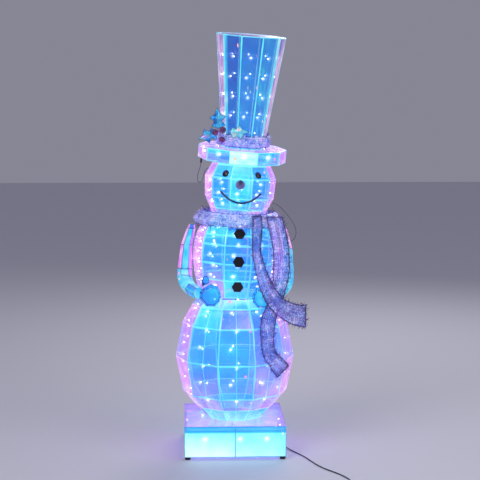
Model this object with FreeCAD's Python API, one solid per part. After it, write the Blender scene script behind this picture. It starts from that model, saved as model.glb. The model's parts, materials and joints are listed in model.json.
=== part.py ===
import FreeCAD, Part
import math
import os

# Lit garden snowman: five stacked wire-frame sections (base box, lower body, torso, head, hat),
# each clad in thin iridescent film with a light string inside. Millimetres, +Z up, front faces -Y.
# Every round section is a ten-sided barrel with corners at its left and right.

Vector = FreeCAD.Vector
Rotation = FreeCAD.Rotation
Placement = FreeCAD.Placement

# ---------------------------------------------------------------- stock and clearances
sides = 10
film_thick = 0.6
ring_wire_radius = 2.0
rib_wire_radius = 1.5
ring_slope_share = 1.46     # level room a ring wire takes under the steepest wall, over its radius
ring_room = 0.98            # left between that and the film corner
weld_bite = 0.1             # how far a rib sinks into the ring it is welded to
seat_gap = 0.5              # between two stacked sections
leg_radius = 1.6            # dark hook wire that locates a section in the one below
leg_room = 4.0              # between a hook leg and the ring it passes
lead_inset = 12.5           # film corner to the centre of the light string lead
string_lead_radius = 0.9
bulb_radius = 2.5
bulb_length = 5.5
bulb_drop = 7.0             # bulb centre below its ring wire
rest_gap = 0.3              # loose pieces laid on or beside each other
slope_allowance = 1.2       # film wall measured level, over the film's own thickness

# ---------------------------------------------------------------- base box
base_side = 436.0
base_bottom = 12.0
base_height = 134.0
base_wire_radius = 2.5
base_rail_drop = 26.0
foot_radius = 12.5
foot_inset = 14.0
foot_chamfer = 3.0
base_string_drop = 55.0     # top of the box to its light string
base_bulb_places = (-130.0, 20.0, 135.0)

# ---------------------------------------------------------------- barrels: (height, corner radius)
body_levels = [(0, 126), (54, 178), (114, 229), (266, 260), (418, 230), (498, 185), (534, 155)]
torso_levels = [(0, 155), (78, 178), (150, 190), (230, 186), (272, 174), (321, 150), (347, 128)]
head_levels = [(0, 116), (28, 126), (76, 150), (162, 155), (216, 129), (228, 121)]
brim_radius = 191.0
brim_height = 56.0
crown_foot_radius = 92.0
crown_top_radius = 150.0
crown_height = 480.0

body_offset = 5.0           # lower body stands this far right of the base centre
torso_lean = 2.4            # degrees to the right, each section from upright
head_lean = 3.8
hat_lean = 4.3
hat_nod = 4.5               # degrees forward

# ---------------------------------------------------------------- dress
button_across = 51.0
button_thick = 7.0
button_heights = [54.0, 163.0, 280.0]
eye_radius = 15.5
eye_height = 181.0
eye_spread = 69.0
nose_radius = 20.5
nose_length = 46.0
nose_height = 139.0
smile_radius = 4.0
arm_radius = 34.0
arm_room = 189.0            # torso axis to the inside of the elbow
mitten_across = 96.0
mitten_thick = 34.0
collar_thick = 24.0
collar_height = 62.0
tail_thick = 12.0
band_height = 52.0
band_thick = 15.0
leaf_thick = 2.0
berry_radius = 13.5

# ---------------------------------------------------------------- leads
lead_radius = 2.5
lead_length = 3000.0
coil_radius = 28.0
coil_width = 20.0
coil_height = 15.0
link_radius = 1.2
link_plug_radius = 4.0
link_plug_length = 20.0

ring_inset = ring_slope_share * ring_wire_radius + ring_room
arm_side = arm_room + arm_radius

os.makedirs("parts", exist_ok=True)


def save(name, *solids):
    shape = solids[0] if len(solids) == 1 else Part.makeCompound(list(solids))
    shape.exportStep("parts/" + name + ".step")
    print(name, len(shape.Solids), round(shape.Volume / 1000.0, 2), shape.isValid())


# ---------------------------------------------------------------- shared shapes
def corner_ring(radius, height, count=sides):
    turn = 2.0 * math.pi / count
    return [Vector(radius * math.cos(turn * k), radius * math.sin(turn * k), height) for k in range(count)]


def radius_at(levels, height):
    for (low, low_radius), (high, high_radius) in zip(levels, levels[1:]):
        if height <= high:
            share = (height - low) / (high - low)
            return low_radius + share * (high_radius - low_radius)
    return levels[-1][1]


def flat_face(points):
    return Part.Face(Part.makePolygon(points + points[:1]))


def faces_to_solid(faces):
    return Part.Solid(Part.Shell(faces))


def quad_faces(a, b, c, d):
    normal = (b - a).cross(c - a)
    if abs(normal.normalize().dot(d - a)) < 1e-6:
        return [flat_face([a, b, c, d])]
    return [flat_face([a, b, c]), flat_face([a, c, d])]


def capped_prism(stations):
    """Closed solid through polygons with the same number of corners."""
    faces = [flat_face(stations[0]), flat_face(stations[-1])]
    for low, high in zip(stations, stations[1:]):
        for k in range(len(low)):
            n = (k + 1) % len(low)
            faces += quad_faces(low[k], low[n], high[n], high[k])
    return faces_to_solid(faces)


def bent_sheet(outer, inner):
    """Sheet of film between two nets of corners, outer[row][column] and inner[row][column]."""
    faces = []
    rows, columns = len(outer), len(outer[0])
    for r in range(rows - 1):
        for c in range(columns - 1):
            for net in (outer, inner):
                faces += quad_faces(net[r][c], net[r][c + 1], net[r + 1][c + 1], net[r + 1][c])
        for c in (0, columns - 1):
            faces += quad_faces(outer[r][c], outer[r + 1][c], inner[r + 1][c], inner[r][c])
    for r in (0, rows - 1):
        for c in range(columns - 1):
            faces += quad_faces(outer[r][c], outer[r][c + 1], inner[r][c + 1], inner[r][c])
    return faces_to_solid(faces)


def barrel_film(levels, first, count):
    """Film over facets first .. first+count-1 of a barrel, one bent sheet."""
    outer, inner = [], []
    for height, radius in levels:
        ring = corner_ring(radius, height)
        inside = corner_ring(radius - slope_allowance * film_thick / math.cos(math.pi / sides), height)
        columns = [(first + k) % sides for k in range(count + 1)]
        outer.append([ring[k] for k in columns])
        inner.append([inside[k] for k in columns])
    return bent_sheet(outer, inner)


def tube_film(levels):
    """Film right round a barrel, open at both ends."""
    outer = capped_prism([corner_ring(radius, height) for height, radius in levels])
    wall = slope_allowance * film_thick / math.cos(math.pi / sides)
    bore = [corner_ring(radius - wall, height) for height, radius in levels]
    low = [Vector(p.x, p.y, p.z - 1.0) for p in bore[0]]
    high = [Vector(p.x, p.y, p.z + 1.0) for p in bore[-1]]
    return outer.cut(capped_prism([low] + bore + [high]))


def open_wire(points, radius):
    path = Part.Wire([Part.makeLine(a, b) for a, b in zip(points, points[1:])])
    profile = Part.Wire([Part.makeCircle(radius, points[0], points[1] - points[0])])
    return path.makePipeShell([profile], True, False, 1)


def closed_wire(points, radius):
    start = (points[0] + points[-1]) * 0.5
    return open_wire([start] + points + [start], radius)


def rod(start, end, radius):
    return Part.makeCylinder(radius, (end - start).Length, start, end - start)


def barrel_frame(levels):
    """Ring wires at every level and ten ribs welded inside them."""
    solids = []
    for height, radius in levels:
        lift = ring_wire_radius if height == levels[0][0] else 0.0
        lift = -ring_wire_radius if height == levels[-1][0] else lift
        solids.append(closed_wire(corner_ring(radius - ring_inset, height + lift), ring_wire_radius))
    rib_inset = ring_inset + ring_wire_radius + rib_wire_radius - weld_bite
    low, high = levels[0][0] + ring_wire_radius, levels[-1][0] - ring_wire_radius
    heights = [low] + [height for height, radius in levels[1:-1]] + [high]
    rows = [corner_ring(radius_at(levels, height) - rib_inset, height) for height in heights]
    for k in range(sides):
        solids.append(open_wire([row[k] for row in rows], rib_wire_radius))
    return solids


def light_string(levels, heights):
    """Lead that runs round inside the barrel at each height, and the bulbs on it."""
    path, bulbs = [], []
    for row, height in enumerate(heights):
        z = height - bulb_drop
        ring = corner_ring(radius_at(levels, z) - lead_inset, z)
        path += ring
        shift = 0.5 if row % 2 == 0 else 0.32
        for near, far in zip(ring, ring[1:]):
            seat = near + (far - near) * shift
            out = (near + far) * 0.5 - Vector(0, 0, z)
            out.normalize()
            bulbs.append(bulb(seat + out * (string_lead_radius + 0.05), out))
    return open_wire(path, string_lead_radius), bulbs


def bulb(foot, out):
    straight = bulb_length - bulb_radius
    body = Part.makeCylinder(bulb_radius, straight, foot, out)
    dome = Part.makeSphere(bulb_radius, foot + out * straight, out, 0, 90, 360)
    return body.fuse(dome).removeSplitter()


def facet_reach(radius, degrees):
    """Distance from the axis to the side of a ten-sided ring, in a direction."""
    step = 180.0 / sides
    from_middle = math.radians(degrees % (2 * step) - step)
    return radius * math.cos(math.radians(step)) / math.cos(from_middle)


def hook_legs(foot_ring, length, directions):
    """Legs that hang below a section and drop inside the ring of the one below."""
    legs = []
    for degrees in directions:
        turn = math.radians(degrees)
        out = Vector(math.cos(turn), math.sin(turn), 0)
        ring_side = facet_reach(foot_ring - ring_inset, degrees) - ring_wire_radius
        reach = ring_side - leg_room - leg_radius
        top = Vector(0, 0, 2.0 * ring_wire_radius)
        leg = rod(out * reach + top, out * reach - Vector(0, 0, length), leg_radius)
        arm = rod(out * reach + top, out * (ring_side + 1.0) + top, leg_radius)
        knee = Part.makeSphere(leg_radius, out * reach + top)
        legs.append(leg.fuse([arm, knee]).removeSplitter())
    return legs


def place(shapes, spot):
    return [shape.transformed(spot.toMatrix()) for shape in shapes]


def stack(below, below_height, lean, nod, tilt, radius):
    """Placement of a section that stands on the one below, clear of it at its lowest corner."""
    axis = below.Rotation.multVec(Vector(0, 0, 1))
    top = below.multVec(Vector(0, 0, below_height))
    dip = radius * math.sin(math.radians(tilt))
    turn = Rotation(Vector(0, 1, 0), lean).multiply(Rotation(Vector(1, 0, 0), nod))
    return Placement(top + axis * (dip + seat_gap), turn)


# ---------------------------------------------------------------- base box
base_top = base_bottom + base_height
half = base_side / 2.0
wall_half = half - film_thick


def square(reach, height):
    return [Vector(reach, reach, height), Vector(-reach, reach, height),
            Vector(-reach, -reach, height), Vector(reach, -reach, height)]


rail_reach = wall_half - base_wire_radius - 0.3
post_reach = rail_reach - 2 * base_wire_radius
rail_low = base_bottom + base_wire_radius + 0.05
rail_high = base_top - film_thick - base_wire_radius - 0.3
rail_mid = rail_high - base_rail_drop
base_frame = [closed_wire(square(rail_reach, z), base_wire_radius) for z in (rail_low, rail_mid, rail_high)]
for x in (-post_reach, 0.0, post_reach):
    for y in (-post_reach, 0.0, post_reach):
        if x or y:
            base_frame.append(rod(Vector(x, y, rail_low), Vector(x, y, rail_high), base_wire_radius))
save("base_frame", *base_frame)

wall_outer = Part.makeBox(base_side, base_side, base_height - 1.0, Vector(-half, -half, base_bottom + 0.1))
inner_corner = Vector(-wall_half, -wall_half, base_bottom - 1.0)
wall_inner = Part.makeBox(2 * wall_half, 2 * wall_half, base_height + 2.0, inner_corner)
save("base_wall_film", wall_outer.cut(wall_inner))

body_spot = Placement(Vector(body_offset, 0, base_top + seat_gap), Rotation())
body_legs = (40, 140, 220, 320)
top_film = Part.makeBox(base_side, base_side, film_thick, Vector(-half, -half, base_top - film_thick))
for leg in place(hook_legs(body_levels[0][1], 1.0, body_legs), body_spot):
    seat = min(leg.Faces, key=lambda face: face.CenterOfMass.z).CenterOfMass
    hole = Part.makeCylinder(leg_radius + leg_room, 4.0, Vector(seat.x, seat.y, base_top - 2.0))
    top_film = top_film.cut(hole)
save("base_top_film", top_film)

feet = []
for x in (-1, 1):
    for y in (-1, 1):
        spot = Vector(x * (half - foot_inset), y * (half - foot_inset), 0)
        sole = Part.makeCone(foot_radius - foot_chamfer / 2, foot_radius, foot_chamfer, spot)
        side_foot = spot + Vector(0, 0, foot_chamfer)
        side = Part.makeCylinder(foot_radius, base_bottom - 2 * foot_chamfer, side_foot)
        rim_foot = spot + Vector(0, 0, base_bottom - foot_chamfer)
        rim = Part.makeCone(foot_radius, foot_radius - foot_chamfer, foot_chamfer, rim_foot)
        foot = sole.fuse([side, rim])
        feet.append(foot.removeSplitter())
save("feet", *feet)

string_reach = wall_half - lead_inset
string_height = base_top - base_string_drop
string_start = Vector(string_reach, 0.0, string_height)
string_end = Vector(string_reach, -30.0, string_height)
base_path = [string_start] + square(string_reach, string_height) + [string_end]
base_bulbs = []
for k in range(4):
    turn = Rotation(Vector(0, 0, 1), 90.0 * k)
    for along in base_bulb_places:
        out = turn.multVec(Vector(0, -1, 0))
        seat = turn.multVec(Vector(along, -string_reach - string_lead_radius - 0.05, string_height))
        base_bulbs.append(bulb(seat, out))
save("base_string_lead", open_wire(base_path, string_lead_radius))
save("base_bulbs", *base_bulbs)


# ---------------------------------------------------------------- one barrel section
film_sides = {"front": (6, 3), "left": (4, 2), "right": (9, 2), "back": (1, 3)}


def barrel_section(name, levels, spot, string_rows, leg_length, leg_directions):
    front = barrel_film(levels, *film_sides["front"])
    back = barrel_film(levels, *film_sides["back"])
    flanks = [barrel_film(levels, *film_sides["left"]), barrel_film(levels, *film_sides["right"])]
    lead, bulbs = light_string(levels, string_rows)
    save(name + "_frame", *place(barrel_frame(levels), spot))
    save(name + "_front_film", *place([front], spot))
    save(name + "_back_film", *place([back], spot))
    save(name + "_side_films", *place(flanks, spot))
    save(name + "_string_lead", *place([lead], spot))
    save(name + "_bulbs", *place(bulbs, spot))
    save(name + "_hooks", *place(hook_legs(levels[0][1], leg_length, leg_directions), spot))


def top_of(levels):
    return levels[-1][0]


torso_spot = stack(body_spot, top_of(body_levels), torso_lean, 0.0, torso_lean, torso_levels[0][1])
head_spot = stack(torso_spot, top_of(torso_levels), head_lean, 0.0, head_lean - torso_lean, head_levels[0][1])
hat_spot = stack(head_spot, top_of(head_levels), hat_lean, hat_nod, hat_nod, head_levels[-1][1])

barrel_section("lower_body", body_levels, body_spot, [114, 190, 266, 342, 418, 490], 24.0, body_legs)
barrel_section("torso", torso_levels, torso_spot, [60, 105, 150, 195, 240, 285], 28.0, (18, 90, 162, 270))
barrel_section("head", head_levels, head_spot, [60, 105, 150], 22.0, (18, 90, 162, 270))


# ---------------------------------------------------------------- what is fixed on the films
def facet_spot(levels, height, azimuth, along, lift=0.0):
    """Placement on a facet of a barrel: local Z along the facet's outward normal."""
    for (low, low_radius), (high, high_radius) in zip(levels, levels[1:]):
        if height <= high:
            break
    apothem = math.cos(math.pi / sides)
    slope = (high_radius - low_radius) * apothem / (high - low)
    turn = math.radians(azimuth)
    level = Vector(math.cos(turn), math.sin(turn), 0)
    across = Vector(-math.sin(turn), math.cos(turn), 0)
    normal = (level - Vector(0, 0, slope)).normalize()
    centre = level * (radius_at(levels, height) * apothem) + across * along + Vector(0, 0, height)
    return Placement(centre + normal * lift, Rotation(across, normal.cross(across), normal, "ZXY"))


def dome(radius, rim, height):
    """Low round cap standing on z = 0."""
    rise = height - rim
    ball = (radius ** 2 + rise ** 2) / (2.0 * rise)
    low_angle = math.degrees(math.asin((ball - rise) / ball))
    cap = Part.makeSphere(ball, Vector(0, 0, height - ball), Vector(0, 0, 1), low_angle, 90, 360)
    return Part.makeCylinder(radius, rim).fuse(cap).removeSplitter()


def hexagon_button(across, thick):
    low = corner_ring(across / 2.0, 0.0, 6)
    edge = corner_ring(across / 2.0, thick - 1.5, 6)
    top = corner_ring(across / 2.0 - 2.0, thick, 6)
    return capped_prism([low, edge, top])


buttons = []
for height in button_heights:
    on_film = facet_spot(torso_levels, height, 270.0, 4.0, rest_gap)
    buttons += place(place([hexagon_button(button_across, button_thick)], on_film), torso_spot)
save("coat_buttons", *buttons)

eye_side = math.cos(math.radians(36.0))
eyes = []
for azimuth, way in ((234.0, -1.0), (306.0, 1.0)):
    middle = radius_at(head_levels, eye_height) * math.cos(math.pi / sides) * math.sin(math.radians(36.0))
    along = way * (eye_spread - middle) / eye_side
    on_film = facet_spot(head_levels, eye_height, azimuth, along, rest_gap)
    eyes += place(place([dome(eye_radius, 2.0, 7.0)], on_film), head_spot)
save("eyes", *eyes)

nose_foot = Part.Wire([Part.makeCircle(nose_radius)])
nose_tip = Part.Wire([Part.makeCircle(2.5, Vector(0, 0.45 * nose_length, nose_length))])
nose = Part.makeLoft([nose_foot, nose_tip], True, False)
on_film = facet_spot(head_levels, nose_height, 270.0, -5.0, rest_gap)
save("nose", *place(place([nose], on_film), head_spot))


def mouth_point(x):
    """Point of the smile on the three front facets, clear of the film."""
    z = 60.0 + 44.0 * (x / 86.0) ** 2
    radius = radius_at(head_levels, z)
    corner = radius * math.sin(math.pi / sides)
    y = -radius * math.cos(math.pi / sides)
    clear = smile_radius + 1.2
    if abs(x) > corner - 1e-6:
        y += (abs(x) - corner) * math.tan(math.radians(36.0))
        clear = clear / math.cos(math.radians(36.0))
    return Vector(x, y - clear, z)


mouth = [mouth_point(x) for x in (-86, -72, -58, -47, -36, -24, -12, 0, 12, 24, 36, 47, 58, 72, 86)]
save("smile", *place([open_wire(mouth, smile_radius)], head_spot))


# ---------------------------------------------------------------- arms and mittens
def arm_stations(way):
    """Hexagons from the shoulder down to the elbow and forward to the wrist: centre, pitch, yaw, radius."""
    out = arm_side
    rows = [(Vector(out - 24, 0, 300), 0, 0, 0.35), (Vector(out - 21, 0, 282), 0, 0, 0.58),
            (Vector(out - 4, 0, 209), 0, 0, 0.76), (Vector(out, 0, 104), 0, 0, 0.97),
            (Vector(out - 1, -6, 66), -25, 0, 1.0), (Vector(out - 11, -35, 38), -60, 12, 0.97),
            (Vector(out - 32, -95, 27), -84, 20, 0.88), (Vector(out - 62, -166, 20), -86, 25, 0.78)]
    stations = []
    for centre, pitch, yaw, scale in rows:
        spot = Vector(way * centre.x, centre.y, centre.z)
        turn = Rotation(Vector(0, 0, 1), -way * yaw).multiply(Rotation(Vector(1, 0, 0), pitch))
        ring = corner_ring(arm_radius * scale, 0.0, 6)
        stations.append([spot + turn.multVec(corner) for corner in ring])
    return stations


def shrink(points, inset):
    centre = Vector(0, 0, 0)
    for point in points:
        centre += point * (1.0 / len(points))
    return [point + (centre - point).normalize() * inset for point in points]


def pull_in(stations, inset):
    """The same stations smaller by an inset, with the two end ones moved inside as well."""
    rings = [shrink(station, inset) for station in stations]
    low = (stations[1][0] - stations[0][0]).normalize() * inset
    high = (stations[-2][0] - stations[-1][0]).normalize() * inset
    rings[0] = [point + low for point in rings[0]]
    rings[-1] = [point + high for point in rings[-1]]
    return rings


def hollow(stations, wall):
    return capped_prism(stations).cut(capped_prism(pull_in(stations, wall)))


def cage(stations, inset, edge_radius):
    """Wire rings at the stations and wires along the edges, inside the film."""
    rings = pull_in(stations, inset)
    wires = [closed_wire(ring, edge_radius) for ring in rings]
    for k in range(len(rings[0])):
        path = [shrink(ring, 2 * edge_radius - weld_bite)[k] for ring in rings]
        wires.append(open_wire(path, edge_radius))
    return wires


mitten_outline = [(-0.35, 0.28), (0.0, 0.50), (0.32, 0.38), (0.44, 0.11), (0.47, -0.08),
                  (0.41, -0.27), (0.20, -0.49), (-0.16, -0.50), (-0.48, -0.14), (-0.48, 0.12)]
thumb_outline = [(-0.40, 0.37), (-0.42, 0.68), (-0.31, 0.86), (-0.18, 0.88), (-0.08, 0.72), (-0.06, 0.55)]
mitten_spot = Vector(-arm_side + 112, -205, 20)


def flat_stations(outline, way, thick, taper):
    """Outline in the X-Z plane, widest half-way through its thickness."""
    stations = []
    for depth, scale in ((-0.5, taper), (0.0, 1.0), (0.5, taper)):
        ring = [Vector(x * mitten_across, 0, z * mitten_across) for x, z in outline]
        middle = Vector(sum(p.x for p in ring) / len(ring), 0, sum(p.z for p in ring) / len(ring))
        ring = [middle + (p - middle) * scale for p in ring]
        spot = mitten_spot + Vector(0, depth * thick, 0)
        stations.append([Vector(-way * (spot.x + p.x), spot.y, spot.z + p.z) for p in ring])
    return stations


for side_name, way in (("left", -1.0), ("right", 1.0)):
    arm = arm_stations(way)
    mitten = flat_stations(mitten_outline, way, mitten_thick, 0.8)
    thumb = flat_stations(thumb_outline, way, mitten_thick * 0.7, 0.8)
    arm_wires = cage(arm, 3.6, rib_wire_radius)
    rim = shrink(mitten[1], 3.2)
    arm_wires.append(closed_wire(rim, rib_wire_radius))
    save(side_name + "_arm_frame", *place(arm_wires, torso_spot))
    save(side_name + "_arm_film", *place([hollow(arm, film_thick)], torso_spot))
    mitten_shells = [hollow(mitten, film_thick), hollow(thumb, film_thick)]
    save(side_name + "_mitten_film", *place(mitten_shells, torso_spot))


# ---------------------------------------------------------------- scarf
def turned_ring(profile):
    points = [Vector(radius, 0, height) for radius, height in profile]
    return flat_face(points).revolve(Vector(0, 0, 0), Vector(0, 0, 1), 360)


collar_low = top_of(torso_levels) - 42.0
collar_inner = radius_at(torso_levels, collar_low) + 6.0
neck_inner = radius_at(torso_levels, top_of(torso_levels)) + 9.0
collar = turned_ring([(collar_inner, collar_low), (collar_inner + collar_thick, collar_low + 2),
                      (collar_inner + collar_thick + 4, collar_low + 0.4 * collar_height),
                      (neck_inner + collar_thick + 10, collar_low + collar_height - 8),
                      (neck_inner + collar_thick - 6, collar_low + collar_height),
                      (neck_inner + 4, collar_low + collar_height - 4),
                      (neck_inner, collar_low + 42.0)])
save("scarf_collar", *place([collar], torso_spot))


def hanging_strip(rows, thick):
    """Strip of scarf: (middle x, y, z, width, degrees the width is turned in the X-Z plane)."""
    stations = []
    for x, y, z, width, degrees in rows:
        turn = math.radians(degrees)
        reach = Vector(math.cos(turn), 0, math.sin(turn)) * (width / 2.0)
        middle = Vector(x, y, z)
        depth = Vector(0, thick / 2.0, 0)
        corners = [reach - depth, reach + depth, depth - reach, Vector(0, 0, 0) - reach - depth]
        stations.append([middle + corner for corner in corners])
    return capped_prism(stations)


short_tail = hanging_strip([(94, -192, 1046, 36, 0), (94, -200, 985, 36, 0), (90, -206, 906, 33, 0),
                            (97, -214, 862, 36, 12), (108, -230, 815, 42, 30), (133, -250, 745, 52, 38),
                            (168, -252, 690, 62, 44), (208, -252, 656, 70, 62), (258, -250, 633, 84, 84),
                            (296, -248, 629, 90, 90)], tail_thick)
save("scarf_short_tail", short_tail)
long_tail = hanging_strip([(167, -164, 1040, 62, 0), (184, -172, 968, 62, 6), (197, -186, 872, 62, 4),
                           (190, -224, 775, 58, -4), (168, -234, 690, 50, -12), (141, -238, 615, 55, -10),
                           (134, -240, 530, 50, 0), (144, -242, 468, 52, 16), (171, -242, 430, 58, 36),
                           (201, -241, 388, 64, 44)], tail_thick)
save("scarf_long_tail", long_tail)

# ---------------------------------------------------------------- hat
crown_levels = [(brim_height, crown_foot_radius), (brim_height + crown_height, crown_top_radius)]
brim_levels = [(0, brim_radius), (brim_height, brim_radius)]
crown_top = top_of(crown_levels)
seat_radius = head_levels[-1][1]


def plate(outer_radius, inner_radius, height):
    """Flat ten-sided film disc with a ten-sided hole."""
    disc = capped_prism([corner_ring(outer_radius, height), corner_ring(outer_radius, height + film_thick)])
    if inner_radius:
        hole = [corner_ring(inner_radius, height - 1.0), corner_ring(inner_radius, height + film_thick + 1.0)]
        disc = disc.cut(capped_prism(hole))
    return disc


film_clear = film_thick + 0.1
brim_frame_levels = [(film_clear, brim_radius), (brim_height - film_clear, brim_radius)]
crown_frame_levels = [crown_levels[0], (crown_top - film_clear, crown_top_radius)]
hat_wires = barrel_frame(brim_frame_levels) + barrel_frame(crown_frame_levels)
seat_ring_height = film_thick + ring_wire_radius + 0.1
spoke_height = seat_ring_height + ring_wire_radius + rib_wire_radius - weld_bite
hat_wires.append(closed_wire(corner_ring(seat_radius - ring_inset, seat_ring_height), ring_wire_radius))
for k in range(sides):
    low = corner_ring(1.0, 0.0)[k]
    start = low * (seat_radius - ring_inset - ring_wire_radius)
    end = low * (brim_radius - ring_inset - ring_wire_radius - 2 * rib_wire_radius)
    lift = Vector(0, 0, spoke_height)
    hat_wires.append(rod(start + lift, end + lift, rib_wire_radius))
    lift = Vector(0, 0, brim_height - spoke_height)
    hat_wires.append(rod(low * (crown_foot_radius - 12.0) + lift, end + lift, rib_wire_radius))
save("hat_frame", *place(hat_wires, hat_spot))

disc_radius = brim_radius - 2 * film_thick
brim_discs = [plate(disc_radius, seat_radius + 1.0, 0.0)]
brim_discs.append(plate(disc_radius, crown_foot_radius - 2.0, brim_height - film_thick))
save("brim_band_film", *place([tube_film(brim_levels)], hat_spot))
save("brim_disc_films", *place(brim_discs, hat_spot))
lid = plate(crown_top_radius - 2 * film_thick, 0, crown_top - film_thick)
save("crown_film", *place([tube_film(crown_levels), lid], hat_spot))

hat_rows = [brim_height + 62 + 84 * k for k in range(5)]
brim_lead, brim_bulbs = light_string(brim_levels, [brim_height - 14.0])
crown_lead, crown_bulbs = light_string(crown_levels, hat_rows)
save("hat_string_lead", *place([brim_lead, crown_lead], hat_spot))
save("hat_bulbs", *place(brim_bulbs + crown_bulbs, hat_spot))
save("hat_hooks", *place(hook_legs(seat_radius, 22.0, (18, 90, 162, 270)), hat_spot))

band_low = brim_height + 8.0
band_inner = radius_at(crown_levels, band_low + band_height) + 4.0
band_outer = band_inner + band_thick
band = turned_ring([(band_inner, band_low), (band_outer - 4, band_low), (band_outer, band_low + 6),
                    (band_outer, band_low + band_height - 6), (band_outer - 4, band_low + band_height),
                    (band_inner, band_low + band_height)])
save("hat_band", *place([band], hat_spot))

leaf_outline = [(0.0, 0.05), (0.10, 0.34), (0.33, 0.18), (0.52, 0.40), (0.68, 0.14), (1.0, 0.0),
                (0.68, -0.14), (0.52, -0.40), (0.33, -0.18), (0.10, -0.34), (0.0, -0.05)]


def holly_leaf(foot, tip):
    """Spiky leaf plate that faces the front, from its stalk end to its tip."""
    along = tip - foot
    length = along.Length
    across = along.cross(Vector(0, 1, 0)).normalize() * length
    rings = []
    for depth in (-leaf_thick / 2.0, leaf_thick / 2.0):
        rings.append([foot + along * a + across * b + Vector(0, depth, 0) for a, b in leaf_outline])
    return capped_prism(rings)


leaves = [holly_leaf(Vector(-112, -78, 139), Vector(-125, -78, 225)),
          holly_leaf(Vector(-123, -82, 118), Vector(-194, -82, 84)),
          holly_leaf(Vector(-60, -128, 126), Vector(14, -128, 138))]
berries = []
for spot in (Vector(-126, -98, 121), Vector(-94, -98, 134), Vector(-94, -104, 92)):
    berries.append(Part.makeSphere(berry_radius, spot))
save("holly_leaves", *place(leaves, hat_spot))
save("holly_berries", *place(berries, hat_spot))


# ---------------------------------------------------------------- free leads
def cord_path(points):
    """Straight runs joined by tangent arcs, each as large as its two runs allow."""
    edges = []
    radii = []
    here = points[0]
    for before, corner, after in zip(points, points[1:], points[2:]):
        back = before - corner
        ahead = after - corner
        reach = 0.45 * min(back.Length, ahead.Length)
        back.normalize()
        ahead.normalize()
        half_turn = (math.pi - back.getAngle(ahead)) / 2.0
        radius = reach / math.tan(half_turn)
        radii.append(round(radius, 1))
        start = corner + back * reach
        end = corner + ahead * reach
        inward = (back + ahead).normalize()
        middle = corner + inward * (radius / math.cos(half_turn) - radius)
        edges.append(Part.LineSegment(here, start).toShape())
        edges.append(Part.Arc(start, middle, end).toShape())
        here = end
    edges.append(Part.LineSegment(here, points[-1]).toShape())
    return Part.Wire(edges), radii


def cord_tube(name, points, radius):
    path, radii = cord_path(points)
    profile = Part.Wire([Part.makeCircle(radius, points[0], points[1] - points[0])])
    tube = path.makePipeShell([profile], True, False)
    runs = [(b - a).Length for a, b in zip(points, points[1:])]
    expected = math.pi * radius ** 2 * path.Length
    print(name, "length", round(path.Length, 1), "runs", [round(run) for run in runs], "radii", radii)
    print(name, "volume / (section x length)", round(tube.Volume / expected, 4))
    return tube, path.Length


# power lead: out from under the right rail, along the floor and into its put-away coil
gland_low = Vector(206, 6, 6.6)
gland_out = Vector(222, -26, 6.0)
gland_axis = (gland_out - gland_low).normalize()
gland_length = (gland_out - gland_low).Length
gland = Part.makeCone(4.8, 3.6, gland_length, gland_low, gland_axis)
save("lead_gland", gland)

coil_centre = Vector(485, -660, 0.2)
lead_z = lead_radius + 0.3
lead_points = [Vector(222, -26, 6.0), Vector(235, -52, 5.5), Vector(251, -88, 3.6), Vector(275, -133, lead_z),
               Vector(302, -194, lead_z), Vector(322, -259, lead_z), Vector(343, -322, lead_z),
               Vector(370, -381, lead_z), Vector(409, -437, lead_z), Vector(440, -496, lead_z),
               Vector(456, -545, lead_z), Vector(460, -590, lead_z), Vector(457, -631, lead_z),
               Vector(460, -663, lead_z)]
tail_points = [Vector(482, -690, lead_z), Vector(502, -691, lead_z), Vector(522, -686, lead_z),
               Vector(542, -682, 8.0), Vector(560, -680, 12.0)]
lead_tube, lead_run = cord_tube("power_lead", lead_points, lead_radius)
tail_tube, tail_run = cord_tube("power_lead tail", tail_points, lead_radius)
save("power_lead", lead_tube, tail_tube)

coil_profile = [(coil_radius - coil_width / 2, 0), (coil_radius + coil_width / 2, 0),
                (coil_radius + coil_width / 2, coil_height), (coil_radius - coil_width / 2, coil_height)]
coil = turned_ring(coil_profile)
coil = coil.makeFillet(3.0, [edge for edge in coil.Edges if edge.Closed])
save("power_lead_coil", coil.translated(coil_centre))
coiled = lead_length - lead_run - tail_run
print("coiled length", round(coiled), "turns", round(coiled / (2 * math.pi * coil_radius), 2))

# low-voltage wall adapter lying beside the coil
adapter_length, adapter_width, adapter_tall = 74.0, 46.0, 32.0
relief_end = tail_points[-1]
relief_root = Vector(577, -680, 14.5)
adapter = Part.makeBox(adapter_length, adapter_width, adapter_tall,
                       Vector(relief_root.x, relief_root.y - adapter_width / 2, 0.2))
adapter = adapter.makeFillet(5.0, adapter.Edges)
relief_reach = relief_root - relief_end
relief = Part.makeCone(3.4, 5.0, relief_reach.Length + 4.0, relief_end, relief_reach)
save("power_adapter", adapter.fuse(relief).removeSplitter())
pins = []
for y in (-9.5, 9.5):
    foot = Vector(relief_root.x + adapter_length, relief_root.y + y, adapter_tall / 2)
    pin = Part.makeCylinder(2.0, 19.0, foot, Vector(1, 0, 0))
    pins.append(pin.makeChamfer(0.6, [pin.Edges[0]]))
save("adapter_pins", *pins)

# link lead from the head into the torso, outside the scarf on the right
neck_points = [
    Vector(152.6, 35, 1084), Vector(164.5, 38.5, 1084), Vector(178, 44, 1081),
    Vector(200, 51, 1070), Vector(221, 57, 1049), Vector(243, 60, 1023), Vector(264, 62, 995),
    Vector(277, 63, 966), Vector(279, 65, 941), Vector(272, 67, 921), Vector(259, 70, 910),
    Vector(249, 72, 900), Vector(247.5, 72, 888),
]
neck_tube, neck_run = cord_tube("neck_link_lead", neck_points, link_radius)
save("neck_link_lead", neck_tube)

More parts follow.
